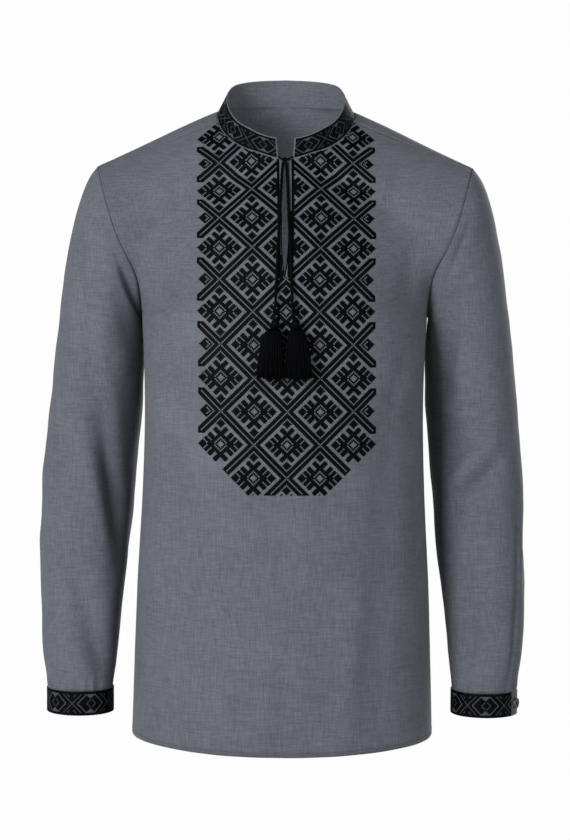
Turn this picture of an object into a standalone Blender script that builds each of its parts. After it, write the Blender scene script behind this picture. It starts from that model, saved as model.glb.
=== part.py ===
"""A linen shirt with a stand collar, a tied neck slit and buttoned cuffs, filled out as if worn.

Metres, +Z up. The front faces -Y. Left and right are as seen from the front: right is +X.
The origin is in the middle of the neck opening, level with the points where the shoulders meet it.
Each piece of cloth is a grid of points on its outer face, given thickness towards the inside.
"""
import math

import bmesh
import bpy
import numpy as np

# Cloth and gaps
CLOTH = 0.0014
BAND_CLOTH = 0.0024
SEAM_GAP = 0.0003

# How finely each piece is divided
PANEL_COLUMNS = 13
LOWER_ROWS = 14
FRONT_ARM_ROWS = 13
BACK_ARM_ROWS = 13
BACK_MIDDLE_ROWS = 6
SLEEVE_ROWS = 19
COLLAR_COLUMNS = 38
COLLAR_ROWS = 2
CUFF_COLUMNS = 34

# The body below the arms: height, then how far the front, the back and the sides stand out
BODY_COLUMNS = ("z", "front", "back", "half_width", "side_y")
BODY = (
    (-0.740, -0.140, 0.119, 0.1787, -0.012),
    (-0.640, -0.144, 0.116, 0.1755, -0.012),
    (-0.550, -0.148, 0.112, 0.1722, -0.012),
    (-0.470, -0.151, 0.109, 0.1676, -0.014),
    (-0.400, -0.153, 0.108, 0.1646, -0.018),
    (-0.340, -0.153, 0.110, 0.1635, -0.021),
    (-0.285, -0.149, 0.113, 0.1648, -0.018),
    (-0.236, -0.140, 0.116, 0.1678, -0.006),
    (-0.190, -0.1268, 0.1155, 0.1690, -0.003),
    (-0.150, -0.1118, 0.112, 0.1700, -0.003),
    (-0.110, -0.0925, 0.105, 0.1700, -0.003),
    (-0.075, -0.0705, 0.094, 0.1700, -0.003),
    (-0.0523, -0.0538, 0.084, 0.1700, -0.003),
    (-0.020, -0.040, 0.0695, 0.1700, -0.003),
    (0.0077, -0.030, 0.055, 0.1700, -0.003),
)
FRONT_SQUARENESS = 2.35
BACK_SQUARENESS = 2.2
HEM_FRONT_Z = -0.7384
HEM_SIDE_Z = -0.7311
HEM_BACK_Z = -0.7350
CHEST_Z = -0.2165
BLADE_Z = -0.2150

# The neckline: turn in degrees from the centre front, and its height
NECK_HALF_WIDTH = 0.0804
NECK_MIDDLE_Y = 0.0040
NECK_FRONT = 0.0580
NECK_BACK = 0.0510
NECK_HEIGHTS = (
    (0, -0.0530), (6, -0.0523), (23, -0.0457), (37, -0.0402), (50, -0.0325), (63, -0.0231),
    (72, -0.0160), (85, -0.0053), (98, 0.0014), (115, 0.0050), (140, 0.0070), (180, 0.0077),
)
NECK_SEAM_TURN = 80.0
NECK_START_TURN = 2.2
NECK_COLLAR_TURN = 6.0
SHOULDER_BEND = 40.0
SHOULDER_BEND_FADE = 0.7
CHEST_DROOP = 0.7

# The collar's upper edge, described in the same way
COLLAR_HALF_WIDTH = 0.0690
COLLAR_MIDDLE_Y = -0.0085
COLLAR_DEPTH = 0.0515
COLLAR_SQUARENESS = 2.15
COLLAR_HEIGHTS = (
    (0, -0.0300), (11, -0.0287), (25, -0.0239), (38, -0.0172), (49, -0.0120), (61, -0.0045),
    (74, 0.0050), (90, 0.0165), (106, 0.0268), (120, 0.0328), (135, 0.0362), (155, 0.0388), (180, 0.0402),
)
COLLAR_END_TURN = 7.6
COLLAR_START_TURN = 6.07

# The neck slit, open from the collar down to a point
SLIT_END_Z = -0.1880
SLIT_ROWS = 5
# Height, and half the slit's opening there
SLIT_WIDTHS = (
    (-0.188, 0.0), (-0.176, 0.0019), (-0.160, 0.0034), (-0.140, 0.0042),
    (-0.110, 0.0043), (-0.080, 0.0037), (-0.052, 0.0031),
)

# The sleeve: share of the way down, its outer and inner edges seen from the front, and its depth
SLEEVE_COLUMNS = ("along", "outer_x", "outer_z", "inner_x", "inner_z", "middle_y", "half_depth")
SLEEVE = (
    (0.00, 0.2196, -0.0625, 0.1679, -0.2366, -0.0030, 0.0620),
    (0.03, 0.2290, -0.0740, 0.1685, -0.2392, -0.0015, 0.0640),
    (0.07, 0.2372, -0.0915, 0.1684, -0.2420, 0.0005, 0.0655),
    (0.11, 0.2438, -0.1120, 0.1682, -0.2455, 0.0030, 0.0663),
    (0.16, 0.2506, -0.1400, 0.1679, -0.2510, 0.0055, 0.0668),
    (0.21, 0.2565, -0.1710, 0.1676, -0.2590, 0.0080, 0.0672),
    (0.27, 0.2622, -0.2080, 0.1672, -0.2715, 0.0105, 0.0672),
    (0.33, 0.2672, -0.2480, 0.1667, -0.2890, 0.0130, 0.0668),
    (0.40, 0.2730, -0.2970, 0.1664, -0.3170, 0.0155, 0.0660),
    (0.47, 0.2782, -0.3460, 0.1677, -0.3510, 0.0175, 0.0648),
    (0.54, 0.2830, -0.3980, 0.1728, -0.3985, 0.0185, 0.0632),
    (0.61, 0.2860, -0.4470, 0.1776, -0.4470, 0.0175, 0.0615),
    (0.68, 0.2888, -0.4960, 0.1816, -0.4960, 0.0135, 0.0593),
    (0.75, 0.2890, -0.5430, 0.1872, -0.5430, 0.0060, 0.0565),
    (0.82, 0.2871, -0.5880, 0.1921, -0.5880, -0.0030, 0.0527),
    (0.89, 0.2850, -0.6300, 0.1963, -0.6300, -0.0110, 0.0478),
    (0.95, 0.2804, -0.6620, 0.1992, -0.6620, -0.0170, 0.0425),
    (1.00, 0.2790, -0.6777, 0.2007, -0.6777, -0.0197, 0.0394),
)
SLEEVE_SQUARENESS = 2.12
UNDERARM_SQUARENESS = 1.36
UNDERARM_FADE = 0.12
UNDERARM_REACH = (-0.5, 0.6)
ARM_BOW_EDGE = 3.0
SLEEVE_ROW_CROWDING = 1.12
ARM_SEAM_TURN = 168.0
ARM_BOW_FRONT = 0.0088
ARM_BOW_BACK = 0.0050
ARM_BOW_PLACE = 0.27
ARM_BOW_SPREAD = 0.20
ARM_BOW_FADE = 0.05
SEAM_SHARE_LOW = -0.12
SEAM_SHARE_HIGH = 0.12

# Soft folds: where each starts and ends, its half width and its depth
# On a sleeve a place is its share of the way down and its turn from the underarm, over the front
# The columns are: start, start, end, end, width, depth
FOLD_END_DEPTH = 0.35
PANEL_FOLD_SIDE_FADE = 0.22
PANEL_FOLD_TOP_FADE = 0.15
SLEEVE_FOLD_TOP_FADE = (0.02, 0.14)
SLEEVE_FOLD_CUFF_FADE = 0.10
LEFT_SLEEVE_FOLDS = (
    (0.30, 70.0, 0.62, 128.0, 0.075, 0.0040),
    (0.72, 150.0, 0.93, 62.0, 0.070, 0.0034),
    (0.10, 70.0, 0.34, 30.0, 0.060, 0.0036),
    (0.45, 300.0, 0.70, 235.0, 0.080, 0.0042),
    (0.14, 250.0, 0.36, 305.0, 0.070, 0.0036),
)
RIGHT_SLEEVE_FOLDS = (
    (0.42, 40.0, 0.60, 92.0, 0.075, 0.0046),
    (0.12, 92.0, 0.30, 40.0, 0.060, 0.0038),
    (0.66, 60.0, 0.90, 118.0, 0.070, 0.0030),
    (0.48, 240.0, 0.66, 300.0, 0.080, 0.0040),
    (0.16, 300.0, 0.36, 245.0, 0.070, 0.0036),
)
# On the body a place is x and z
FRONT_FOLDS = (
    (-0.118, -0.300, -0.132, -0.690, 0.016, 0.0030),
    (0.122, -0.320, 0.104, -0.700, 0.018, 0.0032),
    (-0.052, -0.520, -0.040, -0.725, 0.020, 0.0022),
    (0.036, -0.500, 0.052, -0.720, 0.020, 0.0020),
    (0.150, -0.150, 0.138, -0.235, 0.013, 0.0030),
    (-0.150, -0.150, -0.140, -0.240, 0.013, 0.0028),
)
BACK_FOLDS = (
    (-0.105, -0.200, -0.090, -0.660, 0.018, 0.0036),
    (0.100, -0.220, 0.112, -0.690, 0.018, 0.0034),
    (-0.020, -0.330, -0.034, -0.700, 0.022, 0.0028),
    (0.045, -0.360, 0.030, -0.700, 0.020, 0.0024),
)

# The cuffs
CUFF_X = 0.23985
CUFF_Y = -0.0197
CUFF_HALF_WIDTH = 0.0395
CUFF_HALF_DEPTH = 0.0396
CUFF_TOP_Z = -0.6780
CUFF_BOTTOM_Z = -0.7065
CUFF_LAP = 46.0
CUFF_EASE = 26.0
RIGHT_BUTTON_TURN = 63.0
LEFT_BUTTON_TURN = 118.0
BUTTON_FROM_END = 20.0

# The buttons
BUTTON_RADIUS = 0.0062
BUTTON_HEIGHT = 0.0026
BUTTON_RIM = 0.0011
BUTTON_DISH = 0.0007
BUTTON_HOLE_RADIUS = 0.0007
BUTTON_HOLE_PLACE = 0.0016
BUTTON_SIDES = 24
BUTTON_HOLE_SIDES = 8
BUTTON_SEAT = 0.0002

# The tie: a knotted loop across the slit, two hanging cords and their tassels
CORD_RADIUS = 0.0010
CORD_STEP = 0.0058
KNOT_RADIUS = 0.0027
KNOT_STEP = 0.0012
KNOT_SWELL = (0.0012, 0.0040)
KNOT_ROUTE = (
    (-0.00805, -0.0548, -0.0508),
    (-0.0066, -0.0562, -0.0525),
    (-0.0042, -0.0578, -0.0540),
    (-0.0008, -0.0590, -0.0548),
    (0.0028, -0.0578, -0.0540),
    (0.0058, -0.0562, -0.0525),
    (0.00805, -0.0548, -0.0508),
)
KNOT_X = -0.0008
LEFT_CORD_ROUTE = (
    (-0.0024, -0.06075, -0.05727),
    (-0.0038, -0.0680, -0.0690),
    (-0.0048, -0.0830, -0.0900),
    (-0.0063, -0.1000, -0.1200),
    (-0.0080, -0.1160, -0.1540),
    (-0.0093, -0.1288, -0.1880),
    (-0.0103, -0.1404, -0.2150),
    (-0.0121, -0.1474, -0.2346),
)
RIGHT_CORD_ROUTE = (
    (0.0008, -0.06075, -0.05727),
    (0.0020, -0.0680, -0.0690),
    (0.0030, -0.0830, -0.0900),
    (0.0042, -0.1000, -0.1200),
    (0.0062, -0.1160, -0.1540),
    (0.0077, -0.1288, -0.1880),
    (0.0086, -0.1404, -0.2150),
    (0.0104, -0.1474, -0.2346),
)
TASSEL_TOP_Z = -0.2350
TASSEL_TOP_Y = -0.1480
TASSEL_LEFT_X = -0.0122
TASSEL_RIGHT_X = 0.0105
TASSEL_FOOT_X = 0.0160
TASSEL_HEAD_RADIUS = 0.0047
TASSEL_HEAD_HEIGHT = 0.0100
TASSEL_LENGTH = 0.0575
TASSEL_LEAN_Y = -0.0150
TASSEL_FOOT_WIDTH = 0.0182
TASSEL_FOOT_DEPTH = 0.0088
TASSEL_SIDES = 12
TASSEL_CIRCLES = 4
# The head's outline: share of its radius, and share of its height down from the top
TASSEL_HEAD_PROFILE = ((0.30, 0.0), (0.72, 0.12), (1.0, 0.42), (1.02, 0.66), (0.90, 1.0))
STRAND_WIDTH = 0.0017
STRAND_STEPS = (0.16, 0.42, 0.70, 1.0)
STRAND_FLARE = 0.62
STRAND_ROOT_GAP = 0.00016
STRAND_UNEVENNESS = 0.02

# Colours as linear values, and roughness
LINEN = (0.145, 0.155, 0.175)
STITCHING = (0.010, 0.011, 0.013)
THREAD = (0.006, 0.006, 0.007)
HORN = (0.055, 0.032, 0.024)


def clear_scene():
    """Start from an empty scene."""
    for thing in list(bpy.data.objects):
        bpy.data.objects.remove(thing, do_unlink=True)


def column(table, names, name):
    """One named column of a table."""
    place = names.index(name)
    return np.array([row[place] for row in table], dtype=float)


def smooth(keys, values, at):
    """A smooth curve through the values at the keys, read at one or more places."""
    at = np.clip(np.asarray(at, dtype=float), keys[0], keys[-1])
    slopes = np.gradient(values, keys)
    low = np.clip(np.searchsorted(keys, at, side="right") - 1, 0, len(keys) - 2)
    span = keys[low + 1] - keys[low]
    t = (at - keys[low]) / span
    start = (1 + 2 * t) * (1 - t) ** 2 * values[low]
    start_slope = t * (1 - t) ** 2 * span * slopes[low]
    end = t * t * (3 - 2 * t) * values[low + 1]
    end_slope = t * t * (t - 1) * span * slopes[low + 1]
    return start + start_slope + end + end_slope


def ease(value, low, high):
    """0 below low, 1 above high, and a soft step between."""
    t = np.clip((value - low) / (high - low), 0.0, 1.0)
    return t * t * (3 - 2 * t)


def rounded(value, squareness):
    """A sine or cosine bent towards the corners of a box."""
    return np.sign(value) * np.abs(value) ** (2.0 / squareness)


def even_points(points, count):
    """The points of a line, set out again at even steps along it."""
    steps = np.linalg.norm(np.diff(points, axis=0), axis=1)
    length = np.concatenate([[0.0], np.cumsum(steps)])
    wanted = np.linspace(0.0, length[-1], count + 1)
    return np.stack([np.interp(wanted, length, points[:, axis]) for axis in range(3)], axis=1)


def even_turns(curve, start, end, count):
    """The turns at which a curve is met at even steps along it."""
    turns = np.linspace(start, end, 241)
    points = curve(turns)
    length = np.concatenate([[0.0], np.cumsum(np.linalg.norm(np.diff(points, axis=0), axis=1))])
    return np.interp(np.linspace(0.0, length[-1], count + 1), length, turns)


def body(name, z):
    """One of the body's measures at a height."""
    return smooth(column(BODY, BODY_COLUMNS, "z"), column(BODY, BODY_COLUMNS, name), z)


def neckline(turn):
    """A point of the neckline, from the centre front at 0 round to the centre back at 180."""
    turn = np.asarray(turn, dtype=float)
    angle = np.radians(turn)
    heights = np.array(NECK_HEIGHTS, dtype=float)
    depth = np.where(np.cos(angle) > 0, NECK_FRONT, NECK_BACK)
    x = NECK_HALF_WIDTH * np.sin(angle)
    y = NECK_MIDDLE_Y - depth * np.cos(angle)
    return np.stack([x, y, smooth(heights[:, 0], heights[:, 1], turn)], axis=-1)


def collar_edge(turn):
    """A point of the collar's upper edge, numbered in the same way."""
    turn = np.asarray(turn, dtype=float)
    angle = np.radians(turn)
    heights = np.array(COLLAR_HEIGHTS, dtype=float)
    x = COLLAR_HALF_WIDTH * rounded(np.sin(angle), COLLAR_SQUARENESS)
    y = COLLAR_MIDDLE_Y - COLLAR_DEPTH * rounded(np.cos(angle), COLLAR_SQUARENESS)
    return np.stack([x, y, smooth(heights[:, 0], heights[:, 1], turn)], axis=-1)


def sleeve_measure(name, along):
    """One of the sleeve's measures at a share of the way down."""
    keys = column(SLEEVE, SLEEVE_COLUMNS, "along")
    return smooth(keys, column(SLEEVE, SLEEVE_COLUMNS, name), along)


def sleeve_point(turn, along):
    """A point of the right sleeve: turn 0 is the underarm, 90 the front, 180 the outer side."""
    angle = np.radians(turn)
    outer_x = sleeve_measure("outer_x", along)
    outer_z = sleeve_measure("outer_z", along)
    inner_x = sleeve_measure("inner_x", along)
    inner_z = sleeve_measure("inner_z", along)
    pointed = math.exp(-along / UNDERARM_FADE) * ease(np.cos(angle), *UNDERARM_REACH)
    squareness = SLEEVE_SQUARENESS + (UNDERARM_SQUARENESS - SLEEVE_SQUARENESS) * pointed
    height = (1.0 - rounded(np.cos(angle), squareness)) / 2.0
    forward = rounded(np.sin(angle), squareness)
    bow = np.where(forward > 0, ARM_BOW_FRONT, ARM_BOW_BACK)
    bow = bow * np.minimum(1.0, np.abs(forward) * ARM_BOW_EDGE)
    bow = bow * np.exp(-((height - ARM_BOW_PLACE) / ARM_BOW_SPREAD) ** 2) * math.exp(-along / ARM_BOW_FADE)
    x = inner_x + (outer_x - inner_x) * height - bow
    y = sleeve_measure("middle_y", along) - sleeve_measure("half_depth", along) * forward
    z = inner_z + (outer_z - inner_z) * height
    return np.stack([x, y, z], axis=-1)


def armhole(turn):
    """A point of the right armhole seam."""
    return sleeve_point(turn, 0.0)


def armhole_direction():
    """The way out of the body through the right armhole, square to its seam."""
    rise = armhole(180.0) - armhole(0.0)
    out = np.array([rise[2], 0.0, -rise[0]])
    return out / np.linalg.norm(out)


def panel_row(inner, outer, turn, droop, squareness):
    """A line of cloth from the middle of a panel to its side, bending by the turn in degrees."""
    angle = math.radians(turn) * np.linspace(0.0, 1.0, 97)
    power = 2.0 / squareness
    across = (np.sin(angle) / math.sin(angle[-1])) ** power
    backward = (1.0 - np.cos(angle) ** power) / (1.0 - math.cos(angle[-1]) ** power)
    shares = np.stack([across, backward, across ** droop], axis=1)
    return even_points(inner + (outer - inner) * shares, PANEL_COLUMNS)


def side_heights():
    """The heights of the panel rows at the side seam, from the hem to the underarm."""
    return np.linspace(HEM_SIDE_Z, armhole(0.0)[2], LOWER_ROWS + 1)


def arm_turns(front):
    """Where the upper rows of the front or the back meet the armhole."""
    if front:
        return even_turns(armhole, 0.0, ARM_SEAM_TURN, FRONT_ARM_ROWS)
    return even_turns(armhole, 360.0, ARM_SEAM_TURN, BACK_ARM_ROWS)


def slit_half_width(z):
    """Half the slit's opening at a height."""
    widths = np.array(SLIT_WIDTHS, dtype=float)
    return smooth(widths[:, 0], widths[:, 1], z)


def fold_depth(folds, a, b, fade):
    """How far the folds pull the cloth in at a place."""
    total = np.zeros_like(a)
    for start_a, start_b, end_a, end_b, width, depth in folds:
        run_a = end_a - start_a
        run_b = end_b - start_b
        share = ((a - start_a) * run_a + (b - start_b) * run_b) / (run_a ** 2 + run_b ** 2)
        near = np.clip(share, 0.0, 1.0)
        gap = np.hypot(a - start_a - near * run_a, b - start_b - near * run_b)
        taper = FOLD_END_DEPTH + (1.0 - FOLD_END_DEPTH) * np.sin(np.pi * near)
        total += depth * taper * np.exp(-(gap / width) ** 2)
    return total * fade


def panel_half(front):
    """The right half of the front or the back: rows from the hem up, each from the middle outwards."""
    squareness = FRONT_SQUARENESS if front else BACK_SQUARENESS
    measure = "front" if front else "back"
    hem = HEM_FRONT_Z if front else HEM_BACK_Z
    top_of_middle = CHEST_Z if front else BLADE_Z
    rows = []
    for side_z, middle_z in zip(side_heights(), np.linspace(hem, top_of_middle, LOWER_ROWS + 1)):
        inner = np.array([0.0, body(measure, middle_z), middle_z])
        outer = np.array([body("half_width", side_z), body("side_y", side_z), side_z])
        rows.append((inner, outer))
    rows[-1] = (rows[-1][0], armhole(0.0))
    if front:
        heights = np.linspace(SLIT_END_Z, neckline(NECK_START_TURN)[2], SLIT_ROWS + 1)
        middles = [np.array([slit_half_width(z), body(measure, z), z]) for z in heights]
        middles[-1] = neckline(NECK_START_TURN)
        neck_rows = FRONT_ARM_ROWS - len(middles)
        neck_turns = even_turns(neckline, NECK_COLLAR_TURN, NECK_SEAM_TURN, neck_rows)
    else:
        heights = np.linspace(BLADE_Z, neckline(180.0)[2], BACK_MIDDLE_ROWS + 1)[1:]
        middles = [np.array([0.0, body(measure, z), z]) for z in heights]
        neck_rows = BACK_ARM_ROWS - len(middles)
        neck_turns = even_turns(neckline, 180.0, NECK_SEAM_TURN, neck_rows)[1:]
    middles += [neckline(turn) for turn in neck_turns]
    for inner, turn in zip(middles, arm_turns(front)[1:]):
        rows.append((inner, armhole(turn)))
    grid = []
    for number, (inner, outer) in enumerate(rows):
        above = max(0.0, (number - LOWER_ROWS) / (len(rows) - 1 - LOWER_ROWS))
        turn = 90.0 - (90.0 - SHOULDER_BEND) * above ** SHOULDER_BEND_FADE
        droop = 1.0 + CHEST_DROOP * (1.0 - above)
        grid.append(panel_row(inner, outer, turn, droop, squareness))
    return np.array(grid)


def outward(grid, wraps=False):
    """The outward direction at each point of a grid whose rows rise and run away from the middle."""
    if wraps:
        grid = np.concatenate([grid, grid[:, :1]], axis=1)
    faces = np.cross(grid[1:, 1:] - grid[:-1, :-1], grid[1:, :-1] - grid[:-1, 1:])
    total = np.zeros_like(grid)
    total[:-1, :-1] += faces
    total[:-1, 1:] += faces
    total[1:, :-1] += faces
    total[1:, 1:] += faces
    if wraps:
        total[:, 0] += total[:, -1]
        total = total[:, :-1]
    return unit(total)


def unit(vectors):
    """Vectors cut to length one."""
    return vectors / np.linalg.norm(vectors, axis=-1, keepdims=True)


def body_halves():
    """Points and outward directions of the right half of the front and of the back."""
    halves = {}
    for front in (True, False):
        grid = panel_half(front)
        normal = outward(grid) if front else -outward(grid)
        closed_rows = LOWER_ROWS + 2 if front else LOWER_ROWS + 1 + BACK_MIDDLE_ROWS
        normal[:closed_rows, 0, 0] = 0.0
        normal[:LOWER_ROWS + 1, -1, 1] = 0.0
        halves[front] = (grid, unit(normal))
    shoulder = unit(halves[True][1][-1] + halves[False][1][-1])
    halves[True][1][-1] = shoulder
    halves[False][1][-1] = shoulder
    return halves


def sleeve_base():
    """Points and outward directions of a right sleeve without folds, rows from the armhole down."""
    turns = np.concatenate([arm_turns(True), arm_turns(False)[::-1][1:-1]])
    alongs = np.linspace(0.0, 1.0, SLEEVE_ROWS + 1) ** SLEEVE_ROW_CROWDING
    grid = np.array([sleeve_point(turns, along) for along in alongs])
    normal = -outward(grid, wraps=True)
    normal[-1, :, 2] = 0.0
    return turns, alongs, grid, unit(normal)


def join_armhole(halves, sleeve, sleeve_normal):
    """Give both sides of the armhole seam one direction where the cloth bends over it."""
    front_edge = halves[True][1][LOWER_ROWS:, -1]
    back_edge = halves[False][1][LOWER_ROWS:, -1]
    panel = np.concatenate([front_edge, back_edge[::-1][1:-1]])
    fall = unit(sleeve[1] - sleeve[0])
    over = -np.sum(panel * fall, axis=1)
    share = ease(over, SEAM_SHARE_LOW, SEAM_SHARE_HIGH)[:, None]
    shared = unit(panel + sleeve_normal[0])
    panel = unit(panel * (1.0 - share) + shared * share)
    sleeve_normal[0] = unit(sleeve_normal[0] * (1.0 - share) + shared * share)
    front_edge[:] = panel[:FRONT_ARM_ROWS + 1]
    back_edge[0] = panel[0]
    back_edge[1:] = panel[FRONT_ARM_ROWS:][::-1]


def fold_panel(grid, normal, folds):
    """Lay the soft folds into a panel, fading out before its edges."""
    rows, columns = grid.shape[:2]
    from_edge = np.linspace(1.0, 0.0, columns)[None, :]
    from_top = np.linspace(1.0, 0.0, rows)[:, None]
    fade = ease(from_edge, 0.0, PANEL_FOLD_SIDE_FADE) * ease(from_top, 0.0, PANEL_FOLD_TOP_FADE)
    depth = fold_depth(folds, grid[:, :, 0], grid[:, :, 2], fade)
    return grid - normal * depth[:, :, None]


def part_seams(grid, front):
    """Draw a panel back from its seams by half the gap."""
    half_gap = SEAM_GAP / 2.0
    grid = grid.copy()
    grid[LOWER_ROWS:, -1] -= armhole_direction() * half_gap
    grid[:LOWER_ROWS + 1, -1, 1] += -half_gap if front else half_gap
    grid[-1] += unit(grid[-2] - grid[-1]) * half_gap
    return grid


def mirrored(grid):
    """The same grid on the other side."""
    other = grid.copy()
    other[..., 0] = 0.0 - other[..., 0]
    return other


def material(name, colour, roughness):
    """A plain material."""
    made = bpy.data.materials.new(name)
    made.use_nodes = True
    shader = made.node_tree.nodes["Principled BSDF"]
    shader.inputs["Base Color"].default_value = (*colour, 1.0)
    shader.inputs["Roughness"].default_value = roughness
    shader.inputs["Metallic"].default_value = 0.0
    return made


def add_object(name, mesh, colour, roughness):
    """Put a mesh into the scene under its name."""
    mesh.shade_smooth()
    mesh.materials.append(material(name, colour, roughness))
    made = bpy.data.objects.new(name, mesh)
    bpy.context.scene.collection.objects.link(made)
    return made


def grid_faces(number_of, grid, wraps, reverse):
    """The triangles between the points of a grid, split across the shorter diagonal, by point number."""
    rows, columns = number_of.shape
    faces = []
    for row in range(rows - 1):
        for place in range(columns if wraps else columns - 1):
            after = (place + 1) % columns
            corners = [(row, place), (row, after), (row + 1, after), (row + 1, place)]
            rising = np.linalg.norm(grid[corners[0]] - grid[corners[2]])
            falling = np.linalg.norm(grid[corners[1]] - grid[corners[3]])
            first = 0 if rising <= falling else 1
            around = [number_of[corners[(first + step) % 4]] for step in range(4)]
            for face in (around[:3], [around[0], around[2], around[3]]):
                if len(set(face)) == 3:
                    faces.append(face[::-1] if reverse else face)
    return faces


def seam_rank(vertex):
    """A rank by which the rims on both sides of a seam are split the same way."""
    return vertex.co.z + 0.37 * vertex.co.y + 0.11 * abs(vertex.co.x)


def cloth_wall(name, sheets, thickness, colour, roughness=0.85):
    """Make one closed wall of cloth from grids of outer points, outward directions and a winding."""
    places = {}
    points = []
    directions = []
    faces = []
    for grid, normal, wraps, reverse in sheets:
        number_of = np.zeros(grid.shape[:2], dtype=int)
        for index in np.ndindex(grid.shape[:2]):
            key = tuple(np.round(grid[index] + 0.0, 6))
            if key not in places:
                places[key] = len(points)
                points.append(grid[index])
                directions.append(normal[index])
            number_of[index] = places[key]
        faces += grid_faces(number_of, grid, wraps, reverse)
    bm = bmesh.new()
    outer = [bm.verts.new(point) for point in points]
    inner = [bm.verts.new(point - way * thickness) for point, way in zip(points, directions)]
    for face in faces:
        bm.faces.new([outer[number] for number in face])
        bm.faces.new([inner[number] for number in face[::-1]])
    outer_set = set(outer)
    pair = dict(zip(outer, inner))
    rims = [edge.link_loops[0] for edge in bm.edges if edge.is_boundary and edge.verts[0] in outer_set]
    ends = [(loop.link_loop_next.vert, loop.vert) for loop in rims]
    for first, second in ends:
        if seam_rank(first) < seam_rank(second):
            bm.faces.new([first, second, pair[second]])
            bm.faces.new([first, pair[second], pair[first]])
        else:
            bm.faces.new([first, second, pair[first]])
            bm.faces.new([second, pair[second], pair[first]])
    mesh = bpy.data.meshes.new(name)
    bm.to_mesh(mesh)
    bm.free()
    return add_object(name, mesh, colour, roughness)


def make_body(halves):
    """The front and the back."""
    for front, (grid, normal) in halves.items():
        name = "front" if front else "back"
        folds = FRONT_FOLDS if front else BACK_FOLDS
        right = part_seams(fold_panel(grid, normal, folds), front)
        left = mirrored(part_seams(fold_panel(grid, normal, mirrored_folds(folds)), front))
        sheets = [
            (right, normal, False, not front),
            (left, mirrored(normal), False, front),
        ]
        cloth_wall(name, sheets, CLOTH, LINEN)


def mirrored_folds(folds):
    """Body folds as the other half sees them."""
    return [(-start_x, start_z, -end_x, end_z, width, depth)
            for start_x, start_z, end_x, end_z, width, depth in folds]


def make_sleeve(name, folds, side, base):
    """A sleeve with its folds."""
    turns, alongs, grid, normal = base
    turn_shares = np.broadcast_to(turns / 360.0, grid.shape[:2])
    along_shares = np.broadcast_to(alongs[:, None], grid.shape[:2])
    folds_in_shares = [(a, b / 360.0, c, d / 360.0, width, depth) for a, b, c, d, width, depth in folds]
    fade = ease(along_shares, *SLEEVE_FOLD_TOP_FADE) * ease(1.0 - along_shares, 0.0, SLEEVE_FOLD_CUFF_FADE)
    depth = fold_depth(folds_in_shares, along_shares, turn_shares, fade)
    grid = grid - normal * depth[:, :, None]
    grid[0] += armhole_direction() * SEAM_GAP / 2.0
    if side < 0:
        grid = mirrored(grid)
        normal = mirrored(normal)
    cloth_wall(name, [(grid, normal, True, side > 0)], CLOTH, LINEN)


def make_collar():
    """The stand collar, open at the front."""
    foot_turns = even_turns(neckline, COLLAR_START_TURN, 180.0, COLLAR_COLUMNS // 2)
    edge_turns = COLLAR_END_TURN + (foot_turns - foot_turns[0]) * (180.0 - COLLAR_END_TURN) / (
        180.0 - foot_turns[0])
    foot = neckline(foot_turns)
    edge = collar_edge(edge_turns)
    lift = unit(edge - foot) * SEAM_GAP
    rows = [foot + lift + (edge - foot - lift) * share for share in np.linspace(0, 1, COLLAR_ROWS + 1)]
    grid = np.array(rows)
    normal = outward(grid)
    normal[:, -1, 0] = 0.0
    normal = unit(normal)
    sheets = [
        (grid, normal, False, False),
        (mirrored(grid), mirrored(normal), False, True),
    ]
    cloth_wall("collar", sheets, BAND_CLOTH, STITCHING, 0.8)


def cuff_point(turn, z, offset):
    """A point round the right cuff: turn 0 is the front, 90 the outer side."""
    angle = np.radians(turn)
    x = CUFF_X + (CUFF_HALF_WIDTH + offset) * np.sin(angle)
    y = CUFF_Y - (CUFF_HALF_DEPTH + offset) * np.cos(angle)
    return np.stack([x, y, np.full_like(angle, z)], axis=-1)


def cuff_outward(turn):
    """The way out from the cuff."""
    angle = np.radians(turn)
    x = CUFF_HALF_DEPTH * np.sin(angle)
    y = -CUFF_HALF_WIDTH * np.cos(angle)
    return unit(np.stack([x, y, np.zeros_like(angle)], axis=-1))


def make_cuff(name, button_turn, side):
    """A cuff: a band whose free end laps over the other and is buttoned there."""
    end = button_turn + BUTTON_FROM_END
    turns = np.linspace(end - 360.0 - CUFF_LAP, end, CUFF_COLUMNS + 1)
    tucked = 1.0 - ease(turns - turns[0], CUFF_LAP, CUFF_LAP + CUFF_EASE)
    offset = -(BAND_CLOTH + SEAM_GAP) * tucked
    grid = np.array([cuff_point(turns, z, offset) for z in (CUFF_BOTTOM_Z, CUFF_TOP_Z)])
    normal = np.array([cuff_outward(turns), cuff_outward(turns)])
    if side < 0:
        grid = mirrored(grid)
        normal = mirrored(normal)
    cloth_wall(name, [(grid, normal, False, side < 0)], BAND_CLOTH, STITCHING, 0.8)


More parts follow.
